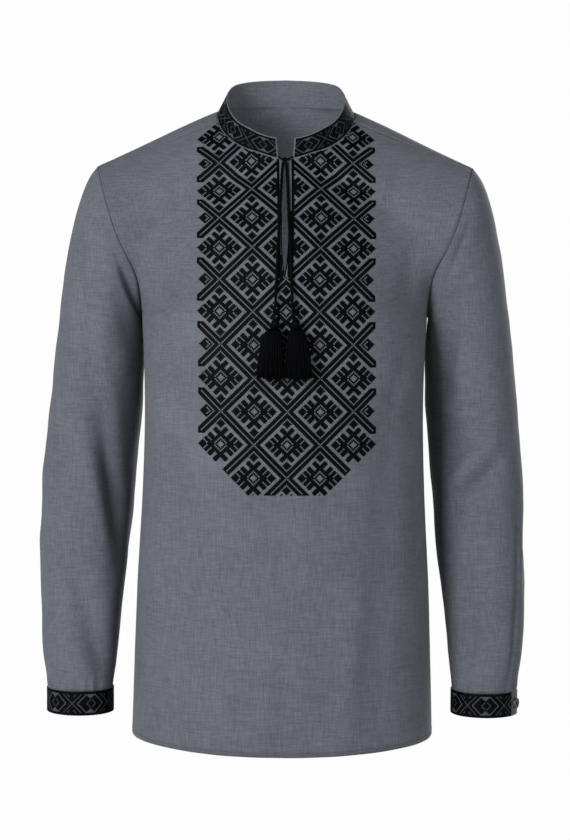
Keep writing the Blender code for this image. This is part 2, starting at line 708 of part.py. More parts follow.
def make_button(name, button_turn, side):
    """A dished four-hole button on a cuff."""
    bm = bmesh.new()
    bmesh.ops.create_cone(
        bm, cap_ends=True, segments=BUTTON_SIDES,
        radius1=BUTTON_RADIUS, radius2=BUTTON_RADIUS, depth=BUTTON_HEIGHT)
    top = [face for face in bm.faces if face.normal.z > 0.9]
    bmesh.ops.inset_region(bm, faces=top, thickness=BUTTON_RIM, depth=0.0)
    bmesh.ops.inset_region(bm, faces=top, thickness=BUTTON_DISH, depth=-BUTTON_DISH)
    mesh = bpy.data.meshes.new(name)
    bm.to_mesh(mesh)
    bm.free()
    button = add_object(name, mesh, HORN, 0.35)
    middle_z = (CUFF_TOP_Z + CUFF_BOTTOM_Z) / 2.0
    offset = SEAM_GAP + BUTTON_HEIGHT / 2.0 + BUTTON_SEAT
    place = cuff_point(np.array(button_turn), middle_z, offset)
    button.location = (side * place[0], place[1], place[2])
    button.rotation_euler = (math.pi / 2.0, 0.0, side * math.radians(button_turn))
    cutter = make_button_holes(name, button)
    cut = button.modifiers.new("holes", "BOOLEAN")
    cut.operation = "DIFFERENCE"
    cut.solver = "EXACT"
    cut.object = cutter


def make_button_holes(name, button):
    """Four pins that cut a button's holes."""
    bm = bmesh.new()
    for number in range(4):
        angle = math.pi / 4.0 + number * math.pi / 2.0
        pin = bmesh.ops.create_cone(
            bm, cap_ends=True, segments=BUTTON_HOLE_SIDES,
            radius1=BUTTON_HOLE_RADIUS, radius2=BUTTON_HOLE_RADIUS, depth=BUTTON_HEIGHT * 3.0)
        shift = (BUTTON_HOLE_PLACE * math.cos(angle), BUTTON_HOLE_PLACE * math.sin(angle), 0.0)
        bmesh.ops.translate(bm, vec=shift, verts=pin["verts"])
    mesh = bpy.data.meshes.new(name + "_holes")
    bm.to_mesh(mesh)
    bm.free()
    cutter = bpy.data.objects.new(name + "_holes", mesh)
    bpy.context.scene.collection.objects.link(cutter)
    cutter.parent = button
    cutter.hide_render = True
    cutter.display_type = "WIRE"
    return cutter


def smooth_route(route, step):
    """Points at even steps along a smooth curve through a route."""
    route = np.array(route, dtype=float)
    gaps = np.linalg.norm(np.diff(route, axis=0), axis=1)
    keys = np.concatenate([[0.0], np.cumsum(gaps)])
    fine = np.linspace(0.0, keys[-1], 400)
    line = np.stack([smooth(keys, route[:, axis], fine) for axis in range(3)], axis=1)
    length = np.linalg.norm(np.diff(line, axis=0), axis=1).sum()
    return even_points(line, max(4, round(length / step)))


def make_cord(name, points, radii, colour):
    """A round cord through points, as thick at each as its radius says."""
    curve = bpy.data.curves.new(name, "CURVE")
    curve.dimensions = "3D"
    curve.bevel_depth = CORD_RADIUS
    curve.bevel_resolution = 2
    curve.use_fill_caps = True
    spline = curve.splines.new("POLY")
    spline.points.add(len(points) - 1)
    for knot, point, radius in zip(spline.points, points, radii):
        knot.co = (*point, 1.0)
        knot.radius = radius / CORD_RADIUS
    curve.materials.append(material(name, colour, 0.8))
    made = bpy.data.objects.new(name, curve)
    bpy.context.scene.collection.objects.link(made)


def make_tie():
    """The knotted loop across the top of the slit and the two cords that hang from it."""
    points = smooth_route(KNOT_ROUTE, KNOT_STEP)
    middle = np.abs(points[:, 0] - KNOT_X)
    swell = 1.0 - ease(middle, *KNOT_SWELL)
    make_cord("tie_knot", points, CORD_RADIUS + (KNOT_RADIUS - CORD_RADIUS) * swell, THREAD)
    for name, route in (("tie_cord_left", LEFT_CORD_ROUTE), ("tie_cord_right", RIGHT_CORD_ROUTE)):
        points = smooth_route(route, CORD_STEP)
        make_cord(name, points, np.full(len(points), CORD_RADIUS), THREAD)


def tassel_head(bm, top):
    """The tassel's round head. Its underside is left as small faces, from which the strands grow."""
    angles = np.linspace(0.0, 2.0 * math.pi, TASSEL_SIDES, endpoint=False)
    circles = []
    for width, drop in TASSEL_HEAD_PROFILE:
        radius = width * TASSEL_HEAD_RADIUS
        z = top[2] - drop * TASSEL_HEAD_HEIGHT
        circles.append([bm.verts.new((top[0] + radius * math.cos(a), top[1] + radius * math.sin(a), z))
                        for a in angles])
    foot_radius = TASSEL_HEAD_PROFILE[-1][0] * TASSEL_HEAD_RADIUS
    foot_z = top[2] - TASSEL_HEAD_HEIGHT
    for number in range(TASSEL_CIRCLES - 1, 0, -1):
        radius = foot_radius * number / TASSEL_CIRCLES
        circles.append([bm.verts.new((top[0] + radius * math.cos(a), top[1] + radius * math.sin(a), foot_z))
                        for a in angles])
    bm.faces.new(circles[0])
    roots = []
    for number in range(len(circles) - 1):
        for place in range(TASSEL_SIDES):
            after = (place + 1) % TASSEL_SIDES
            face = bm.faces.new([
                circles[number][after], circles[number][place],
                circles[number + 1][place], circles[number + 1][after]])
            if number >= len(TASSEL_HEAD_PROFILE) - 1:
                roots.append(face)
    bm.faces.new(circles[-1][::-1])
    bm.normal_update()
    return roots


def grow_strand(bm, face, top, side):
    """Draw one strand down from its root, flaring out and leaning on the chest."""
    root = face.calc_center_median()
    out_x = (root.x - top[0]) / TASSEL_HEAD_RADIUS
    out_y = (root.y - top[1]) / TASSEL_HEAD_RADIUS
    twist = math.sin(out_x * 7.3 + out_y * 5.1)
    length = TASSEL_LENGTH * (1.0 + STRAND_UNEVENNESS * twist)
    offsets = [corner.co - root for corner in face.verts]
    size = max(offset.length for offset in offsets)
    for share in STRAND_STEPS:
        face = bmesh.ops.extrude_discrete_faces(bm, faces=[face])["faces"][0]
        flare = share ** STRAND_FLARE
        x = root.x + (side * TASSEL_FOOT_X + out_x * TASSEL_FOOT_WIDTH - root.x) * flare
        y = root.y + (top[1] + TASSEL_LEAN_Y + out_y * TASSEL_FOOT_DEPTH - root.y) * flare
        z = root.z - length * share
        scale = 1.0 + (STRAND_WIDTH / 2.0 / size - 1.0) * min(1.0, share * 2.0)
        for corner, offset in zip(face.verts, offsets):
            corner.co = (x + offset.x * scale, y + offset.y * scale, z)


def make_tassel(name, x, side):
    """A tassel on the end of a cord."""
    top = (x, TASSEL_TOP_Y, TASSEL_TOP_Z)
    bm = bmesh.new()
    roots = tassel_head(bm, top)
    bmesh.ops.inset_individual(bm, faces=roots, thickness=STRAND_ROOT_GAP)
    for face in roots:
        grow_strand(bm, face, top, side)
    mesh = bpy.data.meshes.new(name)
    bm.to_mesh(mesh)
    bm.free()
    add_object(name, mesh, THREAD, 0.85)


def main():
    """Make every piece."""
    clear_scene()
    halves = body_halves()
    sleeve = sleeve_base()
    join_armhole(halves, sleeve[2], sleeve[3])
    make_body(halves)
    make_sleeve("sleeve_left", LEFT_SLEEVE_FOLDS, -1, sleeve)
    make_sleeve("sleeve_right", RIGHT_SLEEVE_FOLDS, 1, sleeve)
    make_collar()
    make_cuff("cuff_left", LEFT_BUTTON_TURN, -1)
    make_cuff("cuff_right", RIGHT_BUTTON_TURN, 1)
    make_button("button_left", LEFT_BUTTON_TURN, -1)
    make_button("button_right", RIGHT_BUTTON_TURN, 1)
    make_tie()
    make_tassel("tassel_left", TASSEL_LEFT_X, -1)
    make_tassel("tassel_right", TASSEL_RIGHT_X, 1)


main()
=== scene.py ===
"""The look of the shirt: thin cloth on the form of its solids, its embroidery, its tie and its buttons."""
import math

import bpy
import numpy as np
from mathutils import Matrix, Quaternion, Vector, noise
from mathutils.bvhtree import BVHTree


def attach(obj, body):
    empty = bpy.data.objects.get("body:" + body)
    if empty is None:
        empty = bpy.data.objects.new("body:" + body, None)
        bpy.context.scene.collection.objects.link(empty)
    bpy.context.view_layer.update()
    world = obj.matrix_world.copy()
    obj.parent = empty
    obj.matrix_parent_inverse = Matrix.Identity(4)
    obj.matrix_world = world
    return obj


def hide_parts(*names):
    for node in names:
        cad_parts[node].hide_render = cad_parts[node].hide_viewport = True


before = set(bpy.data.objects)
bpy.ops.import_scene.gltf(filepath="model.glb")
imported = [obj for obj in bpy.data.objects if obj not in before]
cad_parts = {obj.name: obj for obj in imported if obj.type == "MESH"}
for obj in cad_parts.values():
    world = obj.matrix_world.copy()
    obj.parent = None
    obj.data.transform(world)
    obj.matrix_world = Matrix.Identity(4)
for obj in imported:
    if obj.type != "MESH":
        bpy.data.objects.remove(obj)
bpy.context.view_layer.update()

# The camera
CAMERA_DISTANCE = 3.2
CAMERA_RISE = 5.0
CAMERA_ROLL = 0.35
CAMERA_TARGET = (0.0, -0.015, -0.360)
CAMERA_LENS = 116.2
CAMERA_SENSOR = 36.0
CAMERA_SHIFT = 1.1 / 840.0

# The light. Overhead the surroundings are dimmer: where that sets in and ends, and both colours
WORLD_STRENGTH = 0.98
OVERHEAD = (0.12, 0.60)
LEVEL_COLOUR = (1.0, 1.0, 1.0)
OVERHEAD_COLOUR = (0.18, 0.18, 0.18)
FLOOR_SIZE = 5.0
FLOOR_Z = -2.2
FLOOR_COLOUR = (0.85, 0.85, 0.85, 1.0)
# Roughness, sheen and gleam
FLOOR_FINISH = (0.9, 0.0, 0.2)
# Each light's place, what it is aimed at, its size and its power
LIGHTS = (
    ("front_light", (-1.9, -2.6, 0.6), (0.0, -0.015, -0.30), (1.4, 1.4), 205.0),
    ("back_light", (1.4, 2.9, 0.7), (0.0, 0.0, -0.36), (1.6, 1.6), 130.0),
    ("neck_light", (0.0, -0.42, 0.42), (0.0, 0.05, 0.0), (0.25, 0.15), 0.35),
    ("side_light", (1.9, -1.8, 0.0), (0.0, -0.015, -0.36), (1.4, 1.8), 27.0),
    ("inner_light", (0.0, -0.04, -0.22), (0.0, 0.10, -0.13), (0.10, 0.10), 0.27),
)

# Both sides as seen from the front, with the sign of x there
SIDES = (("left", -1), ("right", 1))

# The cloth's thickness, that of a folded band's one layer, and the gap between two pieces at a seam
CLOTH = 0.0010
BAND_THICKNESS = 0.0011
SEAM_GAP = 0.0001
# Points that agree to this many digits are one point of the cloth
SAME_PLACE_DIGITS = 6

# How finely each piece is divided into rows and columns
FINE = 4
PANEL_COLUMNS = 13 * FINE
LOWER_ROWS = 14 * FINE
FRONT_ARM_ROWS = 13 * FINE
BACK_ARM_ROWS = 13 * FINE
BACK_MIDDLE_ROWS = 6 * FINE
SLEEVE_ROWS = 19 * FINE
SLIT_ROWS = 5 * FINE
# How many places are read along a curve, a row of cloth and a route before they are set out at even steps
FINE_TURNS = 481
FINE_ROW = 241
FINE_ROUTE = 400

# The body: height, then how far the front, the back and the sides stand out, and the sides' place in depth
BODY_COLUMNS = ("front", "back", "half_width", "side_y")
BODY = (
    (-0.740, -0.140, 0.119, 0.1787, -0.012),
    (-0.640, -0.144, 0.116, 0.1755, -0.012),
    (-0.550, -0.148, 0.112, 0.1722, -0.012),
    (-0.470, -0.151, 0.109, 0.1676, -0.014),
    (-0.400, -0.153, 0.108, 0.1646, -0.018),
    (-0.340, -0.153, 0.110, 0.1635, -0.021),
    (-0.285, -0.149, 0.113, 0.1648, -0.018),
    (-0.236, -0.140, 0.116, 0.1678, -0.006),
    (-0.190, -0.1268, 0.1155, 0.1690, -0.003),
    (-0.150, -0.1118, 0.112, 0.1700, -0.003),
    (-0.110, -0.0925, 0.105, 0.1700, -0.003),
    (-0.075, -0.0705, 0.094, 0.1700, -0.003),
    (-0.0523, -0.0538, 0.084, 0.1700, -0.003),
    (-0.020, -0.040, 0.0695, 0.1700, -0.003),
    (0.0077, -0.030, 0.055, 0.1700, -0.003),
)
HEM_SIDE_Z = -0.7311
# The front and the back: its measure in the table, how square its outline is from above, and the heights in
# its middle of the hem and of the row that meets the underarm
PANELS = {True: ("front", 2.35, -0.7384, -0.2165), False: ("back", 2.2, -0.7350, -0.2150)}

# The neckline: turn in degrees from the centre front, and its height
NECK_HALF_WIDTH = 0.0804
NECK_MIDDLE_Y = 0.0040
NECK_FRONT = 0.0580
NECK_BACK = 0.0510
NECK_HEIGHTS = (
    (0, -0.0530), (6, -0.0523), (23, -0.0457), (37, -0.0402), (50, -0.0325), (63, -0.0231),
    (72, -0.0160), (85, -0.0053), (98, 0.0014), (115, 0.0050), (140, 0.0070), (180, 0.0077),
)
# Turns along it: the slit's edge, the collar's end and the shoulder seam
NECK_START_TURN = 2.2
NECK_COLLAR_TURN = 6.0
NECK_SEAM_TURN = 80.0
# How far the rows bend backwards at the shoulder and how they droop at the chest
SHOULDER_BEND = 40.0
SHOULDER_BEND_FADE = 0.7
CHEST_DROOP = 0.7

# The collar's upper edge, described in the same way
COLLAR_HALF_WIDTH = 0.0690
COLLAR_MIDDLE_Y = -0.0085
COLLAR_DEPTH = 0.0515
COLLAR_SQUARENESS = 2.15
COLLAR_HEIGHTS = (
    (0, -0.0300), (11, -0.0287), (25, -0.0239), (38, -0.0172), (49, -0.0120), (61, -0.0045),
    (74, 0.0050), (90, 0.0165), (106, 0.0268), (120, 0.0328), (135, 0.0362), (155, 0.0388), (180, 0.0402),
)
# The turn of the collar's front end, on its upper edge and on the neckline
COLLAR_END_TURN = 7.6
COLLAR_START_TURN = 6.07

# The neck slit, open from the collar down to a point
SLIT_END_Z = -0.1880
# Height, and half the slit's opening there
SLIT_WIDTHS = (
    (-0.188, 0.0), (-0.176, 0.0019), (-0.160, 0.0034), (-0.140, 0.0042),
    (-0.110, 0.0043), (-0.080, 0.0037), (-0.052, 0.0031),
)

# The sleeve: share of the way down, x and z of its outer edge, x and z of its inner edge, its middle in
# depth and half its depth
SLEEVE = (
    (0.00, 0.2196, -0.0625, 0.1679, -0.2366, -0.0030, 0.0620),
    (0.03, 0.2290, -0.0740, 0.1685, -0.2392, -0.0015, 0.0640),
    (0.07, 0.2372, -0.0915, 0.1684, -0.2420, 0.0005, 0.0655),
    (0.11, 0.2438, -0.1120, 0.1682, -0.2455, 0.0030, 0.0663),
    (0.16, 0.2506, -0.1400, 0.1679, -0.2510, 0.0055, 0.0668),
    (0.21, 0.2565, -0.1710, 0.1676, -0.2590, 0.0080, 0.0672),
    (0.27, 0.2622, -0.2080, 0.1672, -0.2715, 0.0105, 0.0672),
    (0.33, 0.2672, -0.2480, 0.1667, -0.2890, 0.0130, 0.0668),
    (0.40, 0.2730, -0.2970, 0.1664, -0.3170, 0.0155, 0.0660),
    (0.47, 0.2782, -0.3460, 0.1677, -0.3510, 0.0175, 0.0648),
    (0.54, 0.2830, -0.3980, 0.1728, -0.3985, 0.0185, 0.0632),
    (0.61, 0.2860, -0.4470, 0.1776, -0.4470, 0.0175, 0.0615),
    (0.68, 0.2888, -0.4960, 0.1816, -0.4960, 0.0135, 0.0593),
    (0.75, 0.2890, -0.5430, 0.1872, -0.5430, 0.0060, 0.0565),
    (0.82, 0.2871, -0.5880, 0.1921, -0.5880, -0.0030, 0.0527),
    (0.89, 0.2850, -0.6300, 0.1963, -0.6300, -0.0110, 0.0478),
    (0.95, 0.2804, -0.6620, 0.1992, -0.6620, -0.0170, 0.0425),
    (1.00, 0.2790, -0.6777, 0.2007, -0.6777, -0.0197, 0.0394),
)
SLEEVE_ROW_CROWDING = 1.12
# How square its section is, and how pointed near the underarm
SLEEVE_SQUARENESS = 2.12
UNDERARM_SQUARENESS = 1.36
UNDERARM_FADE = 0.12
UNDERARM_REACH = (-0.5, 0.6)
# The armhole bows in towards the body, and meets the shoulder seam at this turn
ARM_SEAM_TURN = 168.0
ARM_BOW_FRONT = 0.0088
ARM_BOW_BACK = 0.0050
ARM_BOW_PLACE = 0.27
ARM_BOW_SPREAD = 0.20
ARM_BOW_FADE = 0.05
ARM_BOW_EDGE = 3.0
# How far the cloth bends over the armhole seam before both pieces share one direction
SEAM_SHARE = (-0.12, 0.12)

# Soft folds and sharper creases: where each starts and ends, its half width and its depth. One with a depth
# below nothing stands out. On the body a place is x and z
FRONT_FOLDS = (
    (-0.118, -0.300, -0.132, -0.690, 0.016, 0.0030),
    (0.122, -0.320, 0.104, -0.700, 0.018, 0.0032),
    (-0.052, -0.520, -0.040, -0.725, 0.020, 0.0022),
    (0.036, -0.500, 0.052, -0.720, 0.020, 0.0020),
    (0.150, -0.150, 0.138, -0.235, 0.013, 0.0030),
    (-0.150, -0.150, -0.140, -0.240, 0.013, 0.0028),
    (-0.146, -0.250, -0.118, -0.330, 0.007, 0.0032),
    (0.140, -0.270, 0.120, -0.350, 0.009, 0.0024),
    (-0.070, -0.560, -0.090, -0.700, 0.014, 0.0028),
    (0.084, -0.540, 0.076, -0.720, 0.012, -0.0024),
    (0.010, -0.600, -0.006, -0.730, 0.012, 0.0024),
    (0.135, -0.060, 0.118, -0.120, 0.010, 0.0024),
    (-0.132, -0.062, -0.120, -0.125, 0.010, 0.0024),
)
BACK_FOLDS = (
    (-0.105, -0.200, -0.090, -0.660, 0.018, 0.0036),
    (0.100, -0.220, 0.112, -0.690, 0.018, 0.0034),
    (-0.020, -0.330, -0.034, -0.700, 0.022, 0.0028),
    (0.045, -0.360, 0.030, -0.700, 0.020, 0.0024),
    (0.040, -0.080, 0.070, -0.220, 0.010, 0.0032),
    (-0.046, -0.090, -0.078, -0.210, 0.011, 0.0036),
    (-0.140, -0.260, -0.100, -0.360, 0.009, 0.0036),
    (0.142, -0.260, 0.108, -0.350, 0.009, 0.0032),
    (-0.064, -0.520, -0.052, -0.710, 0.013, -0.0028),
    (0.070, -0.500, 0.084, -0.715, 0.014, 0.0028),
)
# On a sleeve a place is the share of the way down and the turn from the underarm, over the front
SLEEVE_FOLDS = {
    "left": (
        (0.30, 70.0, 0.62, 128.0, 0.075, 0.0040),
        (0.72, 150.0, 0.93, 62.0, 0.070, 0.0034),
        (0.10, 70.0, 0.34, 30.0, 0.060, 0.0036),
        (0.45, 300.0, 0.70, 235.0, 0.080, 0.0042),
        (0.14, 250.0, 0.36, 305.0, 0.070, 0.0036),
        (0.36, 56.0, 0.62, 26.0, 0.090, 0.0075),
        (0.540, 180.0, 0.660, 180.0, 0.080, -0.0032),
        (0.450, 88.0, 0.690, 34.0, 0.041, 0.0126),
        (0.720, 108.0, 0.940, 38.0, 0.050, 0.0105),
        (0.030, 74.0, 0.060, 20.0, 0.031, 0.0100),
        (0.500, 104.0, 0.660, 62.0, 0.028, -0.0057),
        (0.200, 118.0, 0.400, 96.0, 0.037, 0.0049),
        (0.560, 250.0, 0.700, 305.0, 0.033, 0.0093),
        (0.780, 280.0, 0.920, 230.0, 0.031, 0.0071),
        (0.030, 288.0, 0.080, 335.0, 0.031, 0.0093),
        (0.660, 196.0, 0.800, 220.0, 0.033, 0.0057),
    ),
    "right": (
        (0.42, 40.0, 0.60, 92.0, 0.075, 0.0046),
        (0.12, 92.0, 0.30, 40.0, 0.060, 0.0038),
        (0.66, 60.0, 0.90, 118.0, 0.070, 0.0030),
        (0.48, 240.0, 0.66, 300.0, 0.080, 0.0040),
        (0.16, 300.0, 0.36, 245.0, 0.070, 0.0036),
        (0.860, 80.0, 0.925, 48.0, 0.026, 0.0060),
        (0.28, 56.0, 0.56, 28.0, 0.090, 0.0075),
        (0.525, 107.0, 0.590, 53.0, 0.029, -0.0126),
        (0.500, 104.0, 0.555, 50.0, 0.020, 0.0077),
        (0.555, 112.0, 0.625, 58.0, 0.025, 0.0104),
        (0.040, 113.0, 0.070, 50.0, 0.028, 0.0042),
        (0.740, 84.0, 0.920, 42.0, 0.041, 0.0104),
        (0.240, 70.0, 0.420, 48.0, 0.035, 0.0057),
        (0.500, 254.0, 0.660, 300.0, 0.031, 0.0093),
        (0.740, 236.0, 0.900, 288.0, 0.033, 0.0077),
        (0.040, 250.0, 0.080, 312.0, 0.028, 0.0085),
        (0.600, 196.0, 0.760, 164.0, 0.033, 0.0057),
        (0.590, 143.0, 0.960, 130.0, 0.012, 0.0042),
    ),
}
# How deep a fold still is at its ends, and how folds fade out before the edges of their piece
FOLD_END_DEPTH = 0.35
PANEL_FOLD_SIDE_FADE = 0.22
PANEL_FOLD_TOP_FADE = 0.15
SLEEVE_FOLD_CUFF_FADE = 0.10
SLEEVE_FOLD_TOP_FADE = 0.05

# The cuffs. The lap, the ease beyond it and all turns are in degrees
CUFF_X = 0.23985
CUFF_Y = -0.0197
CUFF_HALF_WIDTH = 0.0395
CUFF_HALF_DEPTH = 0.0396
CUFF_TOP_Z = -0.6780
CUFF_BOTTOM_Z = -0.7065
CUFF_LAP = 46.0
CUFF_EASE = 26.0
# How far the lapped end lies inside the other
CUFF_TUCK = 0.0025
# Where each button sits, and how far that is from the cuff's end
BUTTON_TURNS = {"left": 118.0, "right": 63.0}
BUTTON_FROM_END = 20.0

# The buttons' height at their dished middle, and the crossed thread on them
BUTTON_MIDDLE = 0.0019
BUTTON_THREAD_HALF = 0.0012
BUTTON_THREAD_RISE = 0.0005
BUTTON_THREAD_CURVE = 0.0007
BUTTON_THREAD_RADIUS = 0.00035
BUTTON_THREAD_POINTS = 9

# The tie: a knotted loop across the slit and two hanging cords
KNOT_RADIUS = 0.0010
CORD_RADIUS = 0.0016
KNOT_SWELL = (0.0012, 0.0040)
KNOT_ROUTE = (
    (-0.00805, -0.0548, -0.0508),
    (-0.0066, -0.0562, -0.0525),
    (-0.0042, -0.0578, -0.0540),
    (-0.0008, -0.0590, -0.0548),
    (0.0028, -0.0578, -0.0540),
    (0.0058, -0.0562, -0.0525),
    (0.00805, -0.0548, -0.0508),
)
# The two hanging cords down to their tassels: x of the left one, x of the right one, then y and z of both
CORD_ROUTES = (
    (-0.0024, 0.0008, -0.06075, -0.05727),
    (-0.0038, 0.0020, -0.0680, -0.0690),
    (-0.0048, 0.0030, -0.0830, -0.0900),
    (-0.0063, 0.0042, -0.1000, -0.1200),
    (-0.0080, 0.0062, -0.1160, -0.1540),
    (-0.0093, 0.0077, -0.1288, -0.1880),
    (-0.0103, 0.0086, -0.1404, -0.2150),
    (-0.0121, 0.0104, -0.1474, -0.2346),
)
# How deep a cord ends in its tassel, and how far out and forward
CORD_IN_TASSEL = 0.0180
CORD_END_OUT = 0.0012
CORD_END_FORWARD = 0.0035
CORD_STEP = 0.0008
CORD_SIDES = 12
# A laid cord's strands, the depth of the grooves between them, and turns per metre
KNOT_LAY = (3, 0.16, 150.0)
LOOP_LAY = (3, 0.15, 150.0)
CORD_LAY = (3, 0.16, 130.0)
EDGE_LAY = (2, 0.2, 600.0)
# The knot is fuller in its middle, with small loops round it
KNOT_STEP = 0.0005
KNOT_FULLNESS = 0.35
KNOT_MIDDLE = (-0.0008, -0.0590, -0.0548)
LOOP_LEANS = (-1.0, 0.0, 1.0)
LOOP_APART = 0.0011
LOOP_TWIST = 0.0005
LOOP_DEPTH = 0.0018
LOOP_HEIGHT = 0.0021
LOOP_RADIUS = 0.0008
LOOP_POINTS = 40
LOOP_SIDES = 8
# A direction that no line here runs along, from which a tube's section is turned
SIDE_START = (0.31, 0.52, 0.79)

# The tassels: a ridged head, given as widths and shares of its height, a wound neck and a skirt of strands
TASSEL_X = {"left": -0.0104, "right": 0.0123}
TASSEL_TOP_Y = -0.1480
TASSEL_TOP_Z = -0.2350
HEAD_RADIUS = 0.0047
HEAD_HEIGHT = 0.0100
HEAD_PROFILE = ((0.30, 0.0), (0.72, 0.10), (0.98, 0.34), (1.02, 0.60), (0.80, 0.84), (0.88, 1.0))
HEAD_STEPS = 28
HEAD_SIDES = 72
HEAD_RIDGES = 24
HEAD_RIDGE_DEPTH = 0.05
WRAP_TURNS = 5
WRAP_STEPS = 150
WRAP_RADIUS = 0.0041
WRAP_PLACE = 0.70
WRAP_HEIGHT = 0.0024
WRAP_THREAD = 0.0004
WRAP_SIDES = 6
# The strands: their number, roots, radii at both ends, how they scatter and wave, and their skirt
STRANDS = 300
STRAND_POINTS = 12
STRAND_SIDES = 4
STRAND_ROOT = 0.0036
STRAND_ROOT_PLACE = 0.85
STRAND_ENDS = (0.00055, 0.00042)
STRAND_SCATTER = (12.9898, 4.1414)
STRAND_WANDER = 0.0008
STRAND_WAVE = 0.0004
STRAND_WAVE_TURNS = 5.0
STRAND_WAVE_CHANGE = 2.0
STRAND_WAVE_DEPTH = 0.5
SKIRT_FOOT_X = 0.0160
SKIRT_LEAN_Y = -0.0150
SKIRT_WIDTH = 0.0160
SKIRT_DEPTH = 0.0088
SKIRT_FLARE = 0.36
SKIRT_LENGTH = 0.0560
SKIRT_UNEVEN = 0.0014

# The small hollows and swells of worn cloth: how close together, how deep, and how they fade at the edges
UNEVEN_SCALE = 17.0
UNEVEN_OFFSET = (1.0, 0.7, 1.3)
UNEVEN_FINER = 2.3
UNEVEN_FINER_SHARE = 0.4
UNEVEN_SEEDS = {"front": 3.0, "back": 9.0, "left": 4.0, "right": 6.0}
PANEL_UNEVEN = 0.0013
SLEEVE_UNEVEN = 0.0016
PANEL_SIDE_FADE = 0.15
PANEL_TOP_FADE = 0.2
SLIT_FADE = 0.02
# The cloth sinks a little where it is sewn to the next piece, from this row above the underarm on
SEAM_SINK = 0.0006
SEAM_SINK_ROW = 6
COLLAR_TUCK = 0.0008
# The gathers above a cuff: their number, how unevenly they lie, their depth, and where they start and end
CUFF_GATHERS = 15.0
GATHER_WANDER = (2.0, 30.0)
GATHER_DEPTH = 0.0012
GATHER_START = (0.93, 0.985)
GATHER_END = (-0.002, 0.012)

# Sewing that shows: stitches beside the hem and seams, their place as a share of the way to the next row
HEM_SHARE = 0.55
SHOULDER_SHARE = 0.55
ARM_SHARE = 0.8
ARM_SEWING_ROW = 3
SEWING_STEP = 0.0032
SEWING_SHARE = 0.72
SEWING_WIDTH = 0.0006
SEWING_HEIGHT = 0.0003

# The embroidery: a stitch's width, how far its edges lie off the cloth, and how much its middle is raised
STITCH = 0.001573
STITCH_LIFT = 0.00012
STITCH_CROWN = 0.0004

# The chest's motifs, in stitches from a motif's middle. A diamond is a range of both distances added up
MOTIF_STEP = 24.0
WHOLE_MOTIFS_REACH = 60.0
LATTICE = (19.7, 23.4)
RING = (5.2, 9.3)
HEART = (2.6, 4.2)
BARS = (5.2, 16.2)
BAR_PLACES = ((-3.4, 1.6), (4.6, 9.6))
# Small diamonds: how far from the middle, their half size, and where the motif's edge cuts them off
UPPER_SQUARE = (15.7, 4.1, 18.7)
SIDE_SQUARE = (10.8, 5.9, 16.4)
END_SQUARE = (13.2, 4.9)
# Lines left open in them: how far out, half their width, and how far they reach
CHEVRON = (9.2, 0.6, 3.6)
END_LINE = (2.9, 0.6)
# Past the middle of the outermost motifs the pattern ends in arms, each with half its width and a cut end
CROSSING = 48.0
ARM_HALF = 4.3
ARM_END = 16.5
ARM_CUT = 2.2
CORNER_MOTIF_ROW = -104.0

# The stitched ground: its half width, its rows, its cut corners, and the border along its lower end
CHEST_HALF = 64
CHEST_ROWS = (-134, 190)
CHEST_LOW_ROW = -133.0
CHEST_LOW_CORNER = -160.6
CHEST_HIGH_CORNER = 208.6
BORDER_CORNER = 2.2
BORDER_ROW = 1.5
# The row and column ranges stitched whole beside the slit, and those of the plain strip within them
SLIT_ROW = 25.5
SLIT_COLUMNS = (-5.5, 4.5)
STRIP_ROW = 76.5
STRIP_COLUMNS = (-3.5, 2.5)
# Where the rows are counted from, how much of the cloth's depth they follow, and the heights read for them
CHEST_ZERO_Z = -0.2267
CHEST_DEPTH_SHARE = 0.89
CHEST_HEIGHTS = (-0.475, 0.010, 600)
# Cells are stitched where this share of the cloth under them is found, and none of it lies behind this depth
CHEST_FOUND = 0.99
FRONT_ONLY_Y = 0.05
# The least length that a direction is taken to have
SMALLEST = 1e-12
# Height, and how far each side of the embroidery stands off with the slit
CHEST_SPREADS = (
    (-0.480, 0.0), (-0.230, 0.0), (-0.188, 0.0005), (-0.130, 0.0017), (-0.055, 0.0022), (0.02, 0.0022))
# How much lower the rows lie at the sides than in the middle, and the heights over which that sets in
SIDE_DROP = 0.0105
SIDE_DROP_HEIGHTS = (-0.125, -0.035)
# Height, and how far the embroidery's middle lies to the right
CHEST_SHIFTS = (
    (-0.480, 0.0032), (-0.270, 0.0030), (-0.226, 0.0018), (-0.120, 0.0017), (-0.055, 0.0006), (0.02, 0.0))
# The thread that binds the slit's lower edges: its rows, its radius and how far it lies off the cloth
EDGE_BOUND_ROWS = 12
EDGE_THREAD = 0.0006
EDGE_LIFT = 0.0002
EDGE_SIDES = 8

# The bands of the collar and cuffs, counted in stitches: diamonds with caps, between crossing lines
BAND_REPEAT = 29.0
BAND_DIAMOND = (9.3, 10.6)
BAND_DIAMOND_TOP = 6.4
BAND_CAP = (5.9, 7.1)
BAND_CAP_HALF = 4.2
BAND_WEDGE = (3.6, 3.4, 0.9)
BAND_HEART = (3.6, 0.5, 0.4)
BAND_CROSS_HALF = 0.55
BAND_LINE_TOP = 7.4
BAND_CORNER = (3.6, 4.6)
BAND_THREADS = ("", "_grey", "_pale")
# How many cells each band is high, where its diamonds lie, and how much of it stays plain
COLLAR_CELLS = 20
COLLAR_FIRST_DIAMOND = 11.2
COLLAR_PLAIN_CELLS = 1.0
CUFF_CELLS = 18
CUFF_DIAMOND_TURNS = {"left": -22.0, "right": -1.0}
CUFF_PLAIN_END = 31.0

